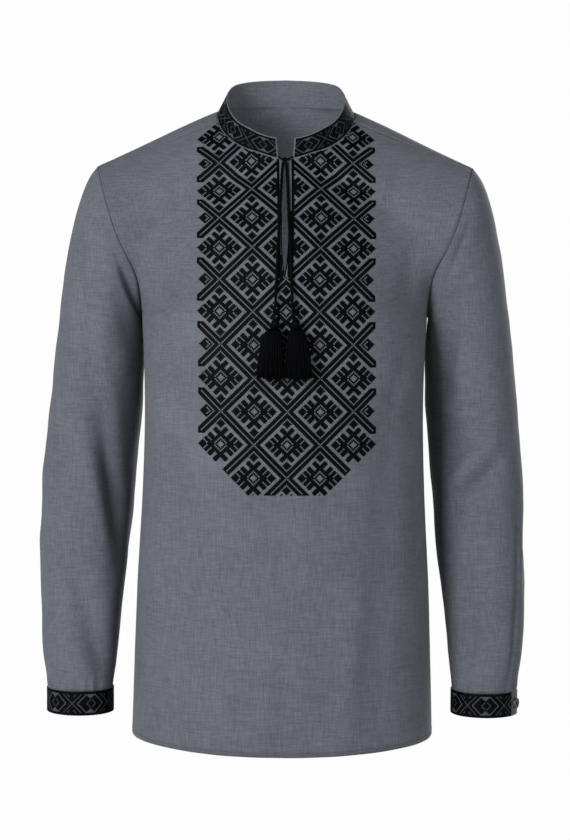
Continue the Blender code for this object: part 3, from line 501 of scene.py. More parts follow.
# Linen: its darkest and lightest colour as linear values, where they lie on the weave's unevenness, and how
# the streaks of its threads and dye are stretched and mixed
LINEN_DARK = (0.038, 0.041, 0.049)
LINEN_LIGHT = (0.070, 0.075, 0.089)
LINEN_RANGE = (0.34, 0.66)
LINEN_ACROSS = (60.0, 60.0, 800.0)
LINEN_DOWN = (700.0, 700.0, 45.0)
LINEN_DYE = (18.0, 18.0, 18.0)
LINEN_THREAD_SHARE = 0.42
LINEN_DYE_SHARE = 0.16
LINEN_RELIEF = (0.35, 0.0006)
# Roughness, sheen and gleam
LINEN_FINISH = (0.9, 0.05, 0.08)
SHEEN_ROUGHNESS = 0.5
# How strong the finest streaks are, and between which of their values the two colours lie
STREAK_FINENESS = 0.6
STREAK_RANGE = (0.3, 0.7)
# Threads and horn: dark, light, how the streaks are stretched, their detail, roughness, gleam and relief
FIBRES = (900.0, 900.0, 900.0)
BLACK_THREAD = ((0.0003, 0.0004, 0.0005), (0.0012, 0.0014, 0.0020), FIBRES, 3.0, 0.6, 0.02, (0.4, 0.0004))
GREY_THREAD = ((0.013, 0.014, 0.017), (0.024, 0.026, 0.031), FIBRES, 3.0, 0.8, 0.02, (0.4, 0.0004))
PALE_THREAD = ((0.022, 0.024, 0.028), (0.038, 0.041, 0.048), FIBRES, 3.0, 0.8, 0.02, (0.4, 0.0004))
SEWING_THREAD = ((0.030, 0.032, 0.038), (0.052, 0.056, 0.065), FIBRES, 3.0, 0.8, 0.02, (0.4, 0.0004))
HORN = ((0.018, 0.009, 0.006), (0.050, 0.025, 0.015), (260.0, 260.0, 90.0), 4.0, 0.45, 0.2, (0.1, 0.0003))


def smooth(keys, values, at):
    """A smooth curve through the values at the keys, read at one or more places."""
    at = np.clip(np.asarray(at, dtype=float), keys[0], keys[-1])
    slopes = np.gradient(values, keys)
    low = np.clip(np.searchsorted(keys, at, side="right") - 1, 0, len(keys) - 2)
    span = keys[low + 1] - keys[low]
    t = (at - keys[low]) / span
    start = (1 + 2 * t) * (1 - t) ** 2 * values[low]
    start_slope = t * (1 - t) ** 2 * span * slopes[low]
    end = t * t * (3 - 2 * t) * values[low + 1]
    end_slope = t * t * (t - 1) * span * slopes[low + 1]
    return start + start_slope + end + end_slope


def read_columns(table, at):
    """The further columns of a table, each read as a smooth curve along the first one."""
    keys, *columns = np.array(table, dtype=float).T
    return [smooth(keys, values, at) for values in columns]


def read_table(table, at):
    """The second column of a table, read in the same way."""
    return read_columns(table, at)[0]


def ease(value, low, high):
    """0 below low, 1 above high, and a soft step between."""
    t = np.clip((value - low) / (high - low), 0.0, 1.0)
    return t * t * (3 - 2 * t)


def between(value, low, high):
    """Whether a value lies inside a range."""
    return (value > low) & (value < high)


def rounded(value, squareness):
    """A sine or cosine bent towards the corners of a box."""
    return np.sign(value) * np.abs(value) ** (2.0 / squareness)


def distances(points):
    """How far along a line each of its points lies."""
    return np.concatenate([[0.0], np.cumsum(np.linalg.norm(np.diff(points, axis=0), axis=1))])


def along_line(at, length, values):
    """Points or directions of a line, read at some distances along it."""
    return np.stack([np.interp(at, length, values[:, axis]) for axis in range(3)], axis=-1)


def even_points(points, count):
    """The points of a line, set out again at even steps along it."""
    length = distances(points)
    return along_line(np.linspace(0.0, length[-1], count + 1), length, points)


def even_turns(curve, start, end, count):
    """The turns at which a curve is met at even steps along it."""
    turns = np.linspace(start, end, FINE_TURNS)
    length = distances(curve(turns))
    return np.interp(np.linspace(0.0, length[-1], count + 1), length, turns)


def body(name, z):
    """One of the body's measures at a height."""
    return read_columns(BODY, z)[BODY_COLUMNS.index(name)]


def neckline(turn):
    """A point of the neckline, from the centre front at 0 round to the centre back at 180."""
    turn = np.asarray(turn, dtype=float)
    angle = np.radians(turn)
    depth = np.where(np.cos(angle) > 0, NECK_FRONT, NECK_BACK)
    x = NECK_HALF_WIDTH * np.sin(angle)
    y = NECK_MIDDLE_Y - depth * np.cos(angle)
    return np.stack([x, y, read_table(NECK_HEIGHTS, turn)], axis=-1)


def collar_edge(turn):
    """A point of the collar's upper edge, numbered in the same way."""
    turn = np.asarray(turn, dtype=float)
    angle = np.radians(turn)
    x = COLLAR_HALF_WIDTH * rounded(np.sin(angle), COLLAR_SQUARENESS)
    y = COLLAR_MIDDLE_Y - COLLAR_DEPTH * rounded(np.cos(angle), COLLAR_SQUARENESS)
    return np.stack([x, y, read_table(COLLAR_HEIGHTS, turn)], axis=-1)


def sleeve_point(turn, along):
    """A point of the right sleeve: turn 0 is the underarm, 90 the front, 180 the outer side."""
    angle = np.radians(turn)
    outer_x, outer_z, inner_x, inner_z, middle_y, half_depth = read_columns(SLEEVE, along)
    pointed = math.exp(-along / UNDERARM_FADE) * ease(np.cos(angle), *UNDERARM_REACH)
    squareness = SLEEVE_SQUARENESS + (UNDERARM_SQUARENESS - SLEEVE_SQUARENESS) * pointed
    height = (1.0 - rounded(np.cos(angle), squareness)) / 2.0
    forward = rounded(np.sin(angle), squareness)
    bow = np.where(forward > 0, ARM_BOW_FRONT, ARM_BOW_BACK)
    bow = bow * np.minimum(1.0, np.abs(forward) * ARM_BOW_EDGE)
    bow = bow * np.exp(-((height - ARM_BOW_PLACE) / ARM_BOW_SPREAD) ** 2) * math.exp(-along / ARM_BOW_FADE)
    x = inner_x + (outer_x - inner_x) * height - bow
    y = middle_y - half_depth * forward
    z = inner_z + (outer_z - inner_z) * height
    return np.stack([x, y, z], axis=-1)


def armhole(turn):
    """A point of the right armhole seam."""
    return sleeve_point(turn, 0.0)


def armhole_direction():
    """The way out of the body through the right armhole, square to its seam."""
    rise = armhole(180.0) - armhole(0.0)
    out = np.array([rise[2], 0.0, -rise[0]])
    return out / np.linalg.norm(out)


def panel_row(inner, outer, turn, droop, squareness):
    """A line of cloth from the middle of a panel to its side, bending by the turn in degrees."""
    angle = math.radians(turn) * np.linspace(0.0, 1.0, FINE_ROW)
    power = 2.0 / squareness
    across = (np.sin(angle) / math.sin(angle[-1])) ** power
    backward = (1.0 - np.cos(angle) ** power) / (1.0 - math.cos(angle[-1]) ** power)
    shares = np.stack([across, backward, across ** droop], axis=1)
    return even_points(inner + (outer - inner) * shares, PANEL_COLUMNS)


def side_heights():
    """The heights of the panel rows at the side seam, from the hem to the underarm."""
    return np.linspace(HEM_SIDE_Z, armhole(0.0)[2], LOWER_ROWS + 1)


def arm_turns(front):
    """Where the upper rows of the front or the back meet the armhole."""
    if front:
        return even_turns(armhole, 0.0, ARM_SEAM_TURN, FRONT_ARM_ROWS)
    return even_turns(armhole, 360.0, ARM_SEAM_TURN, BACK_ARM_ROWS)


def fold_depth(folds, a, b, fade):
    """How far the folds pull the cloth in at a place."""
    total = np.zeros_like(a)
    for start_a, start_b, end_a, end_b, width, depth in folds:
        run_a = end_a - start_a
        run_b = end_b - start_b
        share = ((a - start_a) * run_a + (b - start_b) * run_b) / (run_a ** 2 + run_b ** 2)
        near = np.clip(share, 0.0, 1.0)
        gap = np.hypot(a - start_a - near * run_a, b - start_b - near * run_b)
        taper = FOLD_END_DEPTH + (1.0 - FOLD_END_DEPTH) * np.sin(np.pi * near)
        total += depth * taper * np.exp(-(gap / width) ** 2)
    return total * fade


def panel_half(front):
    """The right half of the front or the back: rows from the hem up, each from the middle outwards."""
    measure, squareness, hem, top_of_middle = PANELS[front]
    rows = []
    for side_z, middle_z in zip(side_heights(), np.linspace(hem, top_of_middle, LOWER_ROWS + 1)):
        inner = np.array([0.0, body(measure, middle_z), middle_z])
        outer = np.array([body("half_width", side_z), body("side_y", side_z), side_z])
        rows.append((inner, outer))
    rows[-1] = (rows[-1][0], armhole(0.0))
    if front:
        chest = np.linspace(top_of_middle, SLIT_END_Z, FINE + 1)[1:]
        slit = np.linspace(SLIT_END_Z, neckline(NECK_START_TURN)[2], SLIT_ROWS + 1)[1:]
        middles = [np.array([read_table(SLIT_WIDTHS, z), body(measure, z), z]) for z in (*chest, *slit)]
        middles[-1] = neckline(NECK_START_TURN)
        near_turns = even_turns(neckline, NECK_START_TURN, NECK_COLLAR_TURN, FINE)[1:]
        neck_rows = FRONT_ARM_ROWS - len(middles) - FINE
        neck_turns = even_turns(neckline, NECK_COLLAR_TURN, NECK_SEAM_TURN, neck_rows)[1:]
        neck_turns = np.concatenate([near_turns, neck_turns])
    else:
        heights = np.linspace(top_of_middle, neckline(180.0)[2], BACK_MIDDLE_ROWS + 1)[1:]
        middles = [np.array([0.0, body(measure, z), z]) for z in heights]
        neck_rows = BACK_ARM_ROWS - len(middles)
        neck_turns = even_turns(neckline, 180.0, NECK_SEAM_TURN, neck_rows)[1:]
    middles += [neckline(turn) for turn in neck_turns]
    for inner, turn in zip(middles, arm_turns(front)[1:]):
        rows.append((inner, armhole(turn)))
    grid = []
    for number, (inner, outer) in enumerate(rows):
        above = max(0.0, (number - LOWER_ROWS) / (len(rows) - 1 - LOWER_ROWS))
        turn = 90.0 - (90.0 - SHOULDER_BEND) * above ** SHOULDER_BEND_FADE
        droop = 1.0 + CHEST_DROOP * (1.0 - above)
        grid.append(panel_row(inner, outer, turn, droop, squareness))
    return np.array(grid)


def outward(grid, wraps=False):
    """The outward direction at each point of a grid whose rows rise and run away from the middle."""
    if wraps:
        grid = np.concatenate([grid, grid[:, :1]], axis=1)
    faces = np.cross(grid[1:, 1:] - grid[:-1, :-1], grid[1:, :-1] - grid[:-1, 1:])
    total = np.zeros_like(grid)
    total[:-1, :-1] += faces
    total[:-1, 1:] += faces
    total[1:, :-1] += faces
    total[1:, 1:] += faces
    if wraps:
        total[:, 0] += total[:, -1]
        total = total[:, :-1]
    return unit(total)


def unit(vectors):
    """Vectors cut to length one."""
    return vectors / np.linalg.norm(vectors, axis=-1, keepdims=True)


def body_halves():
    """Points and outward directions of the right half of the front and of the back."""
    halves = {}
    for front in (True, False):
        grid = panel_half(front)
        normal = outward(grid) if front else -outward(grid)
        closed_rows = LOWER_ROWS + 1 + FINE if front else LOWER_ROWS + 1 + BACK_MIDDLE_ROWS
        normal[:closed_rows, 0, 0] = 0.0
        normal[:LOWER_ROWS + 1, -1, 1] = 0.0
        halves[front] = (grid, unit(normal))
    shoulder = unit(halves[True][1][-1] + halves[False][1][-1])
    halves[True][1][-1] = shoulder
    halves[False][1][-1] = shoulder
    return halves


def sleeve_base():
    """Points and outward directions of a right sleeve without folds, rows from the armhole down."""
    turns = np.concatenate([arm_turns(True), arm_turns(False)[::-1][1:-1]])
    alongs = np.linspace(0.0, 1.0, SLEEVE_ROWS + 1) ** SLEEVE_ROW_CROWDING
    grid = np.array([sleeve_point(turns, along) for along in alongs])
    normal = -outward(grid, wraps=True)
    normal[-1, :, 2] = 0.0
    return turns, alongs, grid, unit(normal)


def join_armhole(halves, sleeve, sleeve_normal):
    """Give both sides of the armhole seam one direction where the cloth bends over it."""
    front_edge = halves[True][1][LOWER_ROWS:, -1]
    back_edge = halves[False][1][LOWER_ROWS:, -1]
    panel = np.concatenate([front_edge, back_edge[::-1][1:-1]])
    fall = unit(sleeve[1] - sleeve[0])
    over = -np.sum(panel * fall, axis=1)
    share = ease(over, *SEAM_SHARE)[:, None]
    shared = unit(panel + sleeve_normal[0])
    panel = unit(panel * (1.0 - share) + shared * share)
    sleeve_normal[0] = unit(sleeve_normal[0] * (1.0 - share) + shared * share)
    front_edge[:] = panel[:FRONT_ARM_ROWS + 1]
    back_edge[0] = panel[0]
    back_edge[1:] = panel[FRONT_ARM_ROWS:][::-1]


def fold_panel(grid, normal, folds):
    """Lay the soft folds into a panel, fading out before its edges."""
    rows, columns = grid.shape[:2]
    from_edge = np.linspace(1.0, 0.0, columns)[None, :]
    from_top = np.linspace(1.0, 0.0, rows)[:, None]
    fade = ease(from_edge, 0.0, PANEL_FOLD_SIDE_FADE) * ease(from_top, 0.0, PANEL_FOLD_TOP_FADE)
    depth = fold_depth(folds, grid[:, :, 0], grid[:, :, 2], fade)
    return grid - normal * depth[:, :, None]


def part_seams(grid, front):
    """Draw a panel back from its seams by half the gap."""
    half_gap = SEAM_GAP / 2.0
    grid = grid.copy()
    grid[LOWER_ROWS:, -1] -= armhole_direction() * half_gap
    grid[:LOWER_ROWS + 1, -1, 1] += -half_gap if front else half_gap
    grid[-1] += unit(grid[-2] - grid[-1]) * half_gap
    return grid


def mirrored(grid):
    """The same grid on the other side."""
    other = grid.copy()
    other[..., 0] = 0.0 - other[..., 0]
    return other


def on_side(side, grid, normal):
    """Points and directions of the right half, or of the left one where the side is below nothing."""
    return (mirrored(grid), mirrored(normal)) if side < 0 else (grid, normal)


def mirrored_folds(folds):
    """Body folds as the other half sees them."""
    return [(-start_x, start_z, -end_x, end_z, width, depth)
            for start_x, start_z, end_x, end_z, width, depth in folds]


def cuff_point(turn, z, offset):
    """A point round the right cuff: turn 0 is the front, 90 the outer side."""
    angle = np.radians(turn)
    x = CUFF_X + (CUFF_HALF_WIDTH + offset) * np.sin(angle)
    y = CUFF_Y - (CUFF_HALF_DEPTH + offset) * np.cos(angle)
    return np.stack([x, y, np.full_like(angle, z)], axis=-1)


def cuff_outward(turn):
    """The way out from the cuff."""
    angle = np.radians(turn)
    x = CUFF_HALF_DEPTH * np.sin(angle)
    y = -CUFF_HALF_WIDTH * np.cos(angle)
    return unit(np.stack([x, y, np.zeros_like(angle)], axis=-1))


def smooth_route(route, step):
    """Points at even steps along a smooth curve through a route."""
    route = np.array(route, dtype=float)
    keys = distances(route)
    fine = np.linspace(0.0, keys[-1], FINE_ROUTE)
    line = np.stack([smooth(keys, route[:, axis], fine) for axis in range(3)], axis=1)
    return even_points(line, max(4, round(distances(line)[-1] / step)))


def make_camera():
    """The camera stands in front of the shirt, a little above its middle."""
    data = bpy.data.cameras.new("camera")
    data.sensor_fit = "VERTICAL"
    data.sensor_height = CAMERA_SENSOR
    data.lens = CAMERA_LENS
    data.shift_x = CAMERA_SHIFT
    camera = bpy.data.objects.new("camera", data)
    rise = math.radians(CAMERA_RISE)
    away = Vector((0.0, -math.cos(rise), math.sin(rise)))
    camera.location = Vector(CAMERA_TARGET) + away * CAMERA_DISTANCE
    aim = (-away).to_track_quat("-Z", "Y")
    roll = Quaternion((0.0, 0.0, 1.0), math.radians(CAMERA_ROLL))
    camera.rotation_euler = (aim @ roll).to_euler()
    bpy.context.scene.collection.objects.link(camera)
    bpy.context.scene.camera = camera


def node_chain(made, kind, **values):
    """A node of a material with its input values."""
    node = made.node_tree.nodes.new(kind)
    for name, value in values.items():
        node.inputs[name.replace("_", " ")].default_value = value
    return node


def thread_noise(made, stretch, detail):
    """Streaks of uneven thread: noise stretched along one way of the weave."""
    links = made.node_tree.links
    place = made.node_tree.nodes.new("ShaderNodeTexCoord")
    scale = node_chain(made, "ShaderNodeMapping", Scale=stretch)
    streaks = node_chain(made, "ShaderNodeTexNoise", Scale=1.0, Detail=detail, Roughness=STREAK_FINENESS)
    links.new(place.outputs["Object"], scale.inputs["Vector"])
    links.new(scale.outputs["Vector"], streaks.inputs["Vector"])
    return streaks.outputs["Fac"]


def blend_values(made, kind, first, second):
    """Two values joined by a sum or a product."""
    node = made.node_tree.nodes.new("ShaderNodeMath")
    node.operation = kind
    for socket, value in zip(node.inputs, (first, second)):
        if isinstance(value, float):
            socket.default_value = value
        else:
            made.node_tree.links.new(value, socket)
    return node.outputs[0]


def blend_colours(tree, value, places, colours):
    """A colour between two, chosen by a value."""
    ramp = tree.nodes.new("ShaderNodeValToRGB")
    for element, place, colour in zip(ramp.color_ramp.elements, places, colours):
        element.position = place
        element.color = (*colour, 1.0)
    tree.links.new(value, ramp.inputs["Fac"])
    return ramp.outputs["Color"]


def colour_surface(made, value, places, colours):
    """Colour a material between dark and light, chosen by a value."""
    colour = blend_colours(made.node_tree, value, places, colours)
    made.node_tree.links.new(colour, made.node_tree.nodes["Principled BSDF"].inputs["Base Color"])


def raise_surface(made, value, strength, distance):
    """Fine relief on a material."""
    bump = node_chain(made, "ShaderNodeBump", Strength=strength, Distance=distance)
    made.node_tree.links.new(value, bump.inputs["Height"])
    shader = made.node_tree.nodes["Principled BSDF"]
    made.node_tree.links.new(bump.outputs["Normal"], shader.inputs["Normal"])


def plain_material(name, roughness, sheen, specular):
    """A material with the constants that all of the cloth and thread share."""
    made = bpy.data.materials.new(name)
    made.use_nodes = True
    shader = made.node_tree.nodes["Principled BSDF"]
    shader.inputs["Roughness"].default_value = roughness
    shader.inputs["Sheen Weight"].default_value = sheen
    shader.inputs["Sheen Roughness"].default_value = SHEEN_ROUGHNESS
    shader.inputs["Specular IOR Level"].default_value = specular
    return made


def linen_material():
    """Heathered linen: lighter and darker threads both ways and a faint uneven dye."""
    made = plain_material("linen", *LINEN_FINISH)
    across = thread_noise(made, LINEN_ACROSS, detail=2.0)
    down = thread_noise(made, LINEN_DOWN, detail=2.0)
    dye = blend_values(made, "MULTIPLY", thread_noise(made, LINEN_DYE, detail=1.0), LINEN_DYE_SHARE)
    threads = blend_values(made, "MULTIPLY", blend_values(made, "ADD", across, down), LINEN_THREAD_SHARE)
    colour_surface(made, blend_values(made, "ADD", threads, dye), LINEN_RANGE, (LINEN_DARK, LINEN_LIGHT))
    raise_surface(made, threads, *LINEN_RELIEF)
    return made


def streaked_material(name, dark, light, stretch, detail, roughness, specular, relief):
    """Thread or horn: its fibres or streaks a little lighter and darker, and faintly raised."""
    made = plain_material(name, roughness, 0.0, specular)
    streaks = thread_noise(made, stretch, detail)
    colour_surface(made, streaks, STREAK_RANGE, (dark, light))
    raise_surface(made, streaks, *relief)
    return made


def add_piece(name, points, faces, made_of, smooth=True):
    """A piece of the shirt from points and faces."""
    mesh = bpy.data.meshes.new(name)
    mesh.from_pydata(np.asarray(points, dtype=float).tolist(), [], [list(face) for face in faces])
    mesh.materials.append(made_of)
    if smooth:
        mesh.shade_smooth()
    piece = bpy.data.objects.new(name, mesh)
    bpy.context.scene.collection.objects.link(piece)
    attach(piece, "root")
    return piece


def stand_in(piece, node):
    """Hide the solid that a piece takes the place of."""
    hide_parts(node)


def side_frames(points):
    """Two directions square to a line at each of its points, turning with it."""
    along = unit(np.gradient(points, axis=0))
    side = np.cross(along[0], SIDE_START)
    sides = [unit(side)]
    for way in along[1:]:
        side = sides[-1] - way * np.dot(sides[-1], way)
        sides.append(unit(side))
    sides = np.array(sides)
    return sides, np.cross(along, sides)


def tube_mesh(points, radii, sides, lobes=0, lobe_depth=0.0, turns_per_metre=0.0):
    """Points and faces of a closed tube along a line, with lobes that twist like laid cord."""
    first, second = side_frames(points)
    angles = np.linspace(0.0, 2.0 * math.pi, sides, endpoint=False)
    twist = 2.0 * math.pi * turns_per_metre * distances(points)[:, None]
    radii = np.broadcast_to(radii, len(points))[:, None]
    reach = radii * (1.0 + lobe_depth * np.cos(lobes * angles[None, :] + twist))
    turned = angles[None, :, None]
    ring = first[:, None] * np.cos(turned) + second[:, None] * np.sin(turned)
    grid = points[:, None] + ring * reach[:, :, None]
    number_of = np.arange(grid.shape[0] * sides).reshape(grid.shape[:2])
    after = np.roll(number_of, -1, axis=1)
    faces = np.stack([number_of[:-1], after[:-1], after[1:], number_of[1:]], axis=-1)
    faces = faces.reshape(-1, 4).tolist()
    faces.append(number_of[0][::-1].tolist())
    faces.append(number_of[-1].tolist())
    return grid.reshape(-1, 3), faces


def joined(parts):
    """Several sets of points and faces as one."""
    points = []
    faces = []
    start = 0
    for some_points, some_faces in parts:
        points.append(some_points)
        faces += [[number + start for number in face] for face in some_faces]
        start += len(some_points)
    return np.concatenate(points), faces


def make_tassel(name, top, side, made_of):
    """A tassel: a bound head, a neck of wound thread and a full skirt of strands."""
    widths, places = np.array(HEAD_PROFILE).T
    drops = np.linspace(0.0, 1.0, HEAD_STEPS)
    line = np.array([[top[0], top[1], top[2] - drop * HEAD_HEIGHT] for drop in drops])
    radii = np.interp(drops, places, widths) * HEAD_RADIUS
    parts = [tube_mesh(line, radii, HEAD_SIDES, HEAD_RIDGES, HEAD_RIDGE_DEPTH)]
    turns = np.linspace(0.0, 2.0 * math.pi * WRAP_TURNS, WRAP_STEPS)
    wrap = np.stack([
        top[0] + np.cos(turns) * WRAP_RADIUS, top[1] + np.sin(turns) * WRAP_RADIUS,
        top[2] - HEAD_HEIGHT * WRAP_PLACE - turns / turns[-1] * WRAP_HEIGHT], axis=1)
    parts.append(tube_mesh(wrap, WRAP_THREAD, WRAP_SIDES))
    shares = np.linspace(0.0, 1.0, STRAND_POINTS)
    flare = shares ** SKIRT_FLARE
    golden = math.pi * (3.0 - math.sqrt(5.0))
    for number in range(STRANDS):
        reach = math.sqrt((number + 0.5) / STRANDS)
        out_x = reach * math.cos(number * golden)
        out_y = reach * math.sin(number * golden)
        wander = math.sin(number * STRAND_SCATTER[0]) * math.cos(number * STRAND_SCATTER[1])
        root_x = top[0] + out_x * STRAND_ROOT
        root_y = top[1] + out_y * STRAND_ROOT
        foot_x = side * SKIRT_FOOT_X + out_x * SKIRT_WIDTH + wander * STRAND_WANDER
        foot_y = top[1] + SKIRT_LEAN_Y + out_y * SKIRT_DEPTH
        wave = np.sin(shares * (STRAND_WAVE_TURNS + STRAND_WAVE_CHANGE * wander) + number)
        wave = STRAND_WAVE * wave * shares
        fall = shares * (SKIRT_LENGTH + wander * SKIRT_UNEVEN)
        line = np.stack([
            root_x + (foot_x - root_x) * flare + wave,
            root_y + (foot_y - root_y) * flare + wave * STRAND_WAVE_DEPTH,
            top[2] - HEAD_HEIGHT * STRAND_ROOT_PLACE - fall], axis=1)
        parts.append(tube_mesh(line, np.linspace(*STRAND_ENDS, STRAND_POINTS), STRAND_SIDES))
    return add_piece(name, *joined(parts), made_of)


def make_knot(thread):
    """The knotted loop of the tie."""
    points = smooth_route(KNOT_ROUTE, KNOT_STEP)
    swell = 1.0 - ease(np.abs(points[:, 0] - KNOT_MIDDLE[0]), *KNOT_SWELL)
    parts = [tube_mesh(points, KNOT_RADIUS * (1.0 + KNOT_FULLNESS * swell), CORD_SIDES, *KNOT_LAY)]
    angles = np.linspace(0.0, 2.0 * math.pi, LOOP_POINTS)
    for lean in LOOP_LEANS:
        loop = np.stack([
            KNOT_MIDDLE[0] + lean * LOOP_APART + LOOP_TWIST * np.sin(angles) * lean,
            KNOT_MIDDLE[1] - LOOP_DEPTH * np.cos(angles),
            KNOT_MIDDLE[2] + LOOP_HEIGHT * np.sin(angles)], axis=1)
        parts.append(tube_mesh(loop, LOOP_RADIUS, LOOP_SIDES, *LOOP_LAY))
    stand_in(add_piece("tie_loop", *joined(parts), thread), "tie_knot")


def make_tie_end(number, name, side, thread):
    """A laid cord that hangs from the knot, and the tassel on it."""
    top = (TASSEL_X[name], TASSEL_TOP_Y, TASSEL_TOP_Z)
    tassel = make_tassel("tassel_threads_" + name, top, side, thread)
    stand_in(tassel, "tassel_" + name)
    route = [(row[number], row[2], row[3]) for row in CORD_ROUTES]
    foot = (top[0] + side * CORD_END_OUT, top[1] - CORD_END_FORWARD, top[2] - CORD_IN_TASSEL)
    points = smooth_route((*route, foot), CORD_STEP)
    cord = add_piece("tie_end_" + name, *tube_mesh(points, CORD_RADIUS, CORD_SIDES, *CORD_LAY), thread)
    stand_in(cord, "tie_cord_" + name)


def thin_cloth(name, sheets, made_of, thickness=CLOTH):
    """One thin sheet of cloth from grids of outer points, outward directions and a winding."""
    places = {}
    points = []
    ways = []
    faces = []
    for grid, normal, wraps, reverse in sheets:
        number_of = np.zeros(grid.shape[:2], dtype=int)
        for index in np.ndindex(grid.shape[:2]):
            key = tuple(np.round(grid[index] + 0.0, SAME_PLACE_DIGITS))
            if key not in places:
                places[key] = len(points)
                points.append(grid[index])
                ways.append(normal[index])
            number_of[index] = places[key]
        rows, columns = number_of.shape
        for row in range(rows - 1):
            for place in range(columns if wraps else columns - 1):
                after = (place + 1) % columns
                face = [number_of[row, place], number_of[row, after],
                        number_of[row + 1, after], number_of[row + 1, place]]
                face = list(dict.fromkeys(face))
                if len(face) > 2:
                    faces.append(face[::-1] if reverse else face)
    points = np.array(points)
    inner = points - np.array(ways) * thickness
    count = len(points)
    edges = {pair for face in faces for pair in zip(face, face[1:] + face[:1])}
    rims = [pair for pair in sorted(edges) if (pair[1], pair[0]) not in edges]
    walls = [[second, first, first + count, second + count] for first, second in rims]
    inside = [[number + count for number in face[::-1]] for face in faces]
    return add_piece(name, np.concatenate([points, inner]), faces + inside + walls, made_of)


def unevenness(grid, name):
    """The small hollows and swells that all worn cloth has."""
    offset = Vector(UNEVEN_OFFSET) * UNEVEN_SEEDS[name]
    values = []
    for point in grid.reshape(-1, 3):
        place = Vector(point) * UNEVEN_SCALE
        finer = noise.noise(place * UNEVEN_FINER + offset)
        values.append(noise.noise(place + offset) + UNEVEN_FINER_SHARE * finer)
    return np.array(values).reshape(grid.shape[:2])


def groove(grid, normal, edges):
    """Sink the cloth's edges a little where they are sewn to the next piece."""
    grid = grid.copy()
    for rows, columns in edges:
        grid[rows, columns] -= normal[rows, columns] * SEAM_SINK
    return grid


def body_sheet(halves, front, side):
    """Points and directions of one half of the front or the back, with its folds and creases."""
    grid, normal = halves[front]
    folds = FRONT_FOLDS if front else BACK_FOLDS
    grid = fold_panel(grid, normal, folds if side > 0 else mirrored_folds(folds))
    rows, columns = grid.shape[:2]
    fade = ease(np.linspace(1.0, 0.0, columns)[None, :], 0.0, PANEL_SIDE_FADE)
    swell = unevenness(on_side(side, grid, normal)[0], PANELS[front][0]) * fade
    swell = swell * ease(np.linspace(1.0, 0.0, rows)[:, None], 0.0, PANEL_TOP_FADE)
    beside_slit = np.minimum(1.0, np.abs(grid[:, :, 0]) / SLIT_FADE)
    swell = swell * np.where(grid[:, :, 2] > SLIT_END_Z, beside_slit, 1.0)
    grid = part_seams(grid - normal * swell[:, :, None] * PANEL_UNEVEN, front)
    grid = groove(grid, normal, [(slice(LOWER_ROWS + SEAM_SINK_ROW, None), -1), (-1, slice(None))])
    return *on_side(side, grid, normal), False, front == (side < 0)


def make_panel(halves, front, linen, sewing):
    """The front or the back, with the stitching of its hem and seams."""
    name = PANELS[front][0]
    sheets = [body_sheet(halves, front, side) for side in (1, -1)]
    cloth = thin_cloth(name + "_cloth", sheets, linen)
    stand_in(cloth, name)
    lines = []
    for grid, normal, *_ in sheets:
        lines.append((grid[0] + (grid[1] - grid[0]) * HEM_SHARE, normal[0]))
        lines.append((grid[-1] + (grid[-2] - grid[-1]) * SHOULDER_SHARE, normal[-2]))
        arm = slice(LOWER_ROWS + ARM_SEWING_ROW, None)
        lines.append((grid[arm, -1] + (grid[arm, -2] - grid[arm, -1]) * ARM_SHARE, normal[arm, -2]))
    seams = sewn_lines(name + "_seam_stitches", lines, sewing)
    return cloth


def sewn_lines(name, lines, made_of):
    """Small even stitches along lines on the cloth."""
    points = []
    faces = []
    for path, ways in lines:
        length = distances(path)
        for start in np.arange(SEWING_STEP, length[-1] - SEWING_STEP, SEWING_STEP):
            at = np.array([start, start + SEWING_STEP * SEWING_SHARE])
            ends = along_line(at, length, path)
            lifts = unit(along_line(at, length, ways))
            side = np.cross(unit(ends[1] - ends[0]), lifts[0]) * SEWING_WIDTH / 2.0
            base = len(points)
            for point, lift in zip(ends, lifts):
                points += [point - side, point + lift * SEWING_HEIGHT, point + side]
            faces += [[base, base + 1, base + 4, base + 3], [base + 1, base + 2, base + 5, base + 4],
                      [base, base + 2, base + 1], [base + 3, base + 4, base + 5]]
    return add_piece(name, points, faces, made_of, smooth=False)


def stitched_cells(name, corners, ways, chosen, made_of):
    """Raised stitches over the chosen cells of a grid of corners."""
    rows, places = np.nonzero(chosen)
    around = [(rows, places), (rows, places + 1), (rows + 1, places + 1), (rows + 1, places)]
    used = np.zeros(corners.shape[:2], dtype=bool)
    for at in around:
        used[at] = True
    number_of = np.cumsum(used).reshape(used.shape) - 1
    low = (corners + ways * STITCH_LIFT)[used]
    outward_ways = unit(sum(ways[at] for at in around))
    crowns = sum(corners[at] for at in around) / 4.0 + outward_ways * STITCH_CROWN
    points = np.concatenate([low, crowns])
    tops = len(low) + np.arange(len(rows))
    faces = np.concatenate([
        np.stack([number_of[at], number_of[after], tops], axis=1)
        for at, after in zip(around, around[1:] + around[:1])])
    first = points[faces[:, 0]]
    face_ways = np.cross(points[faces[:, 1]] - first, points[faces[:, 2]] - first)
    if np.sum(face_ways[:len(rows)] * outward_ways) < 0:
        faces = faces[:, ::-1]
    piece = add_piece(name, points, faces.tolist(), made_of)
    return piece


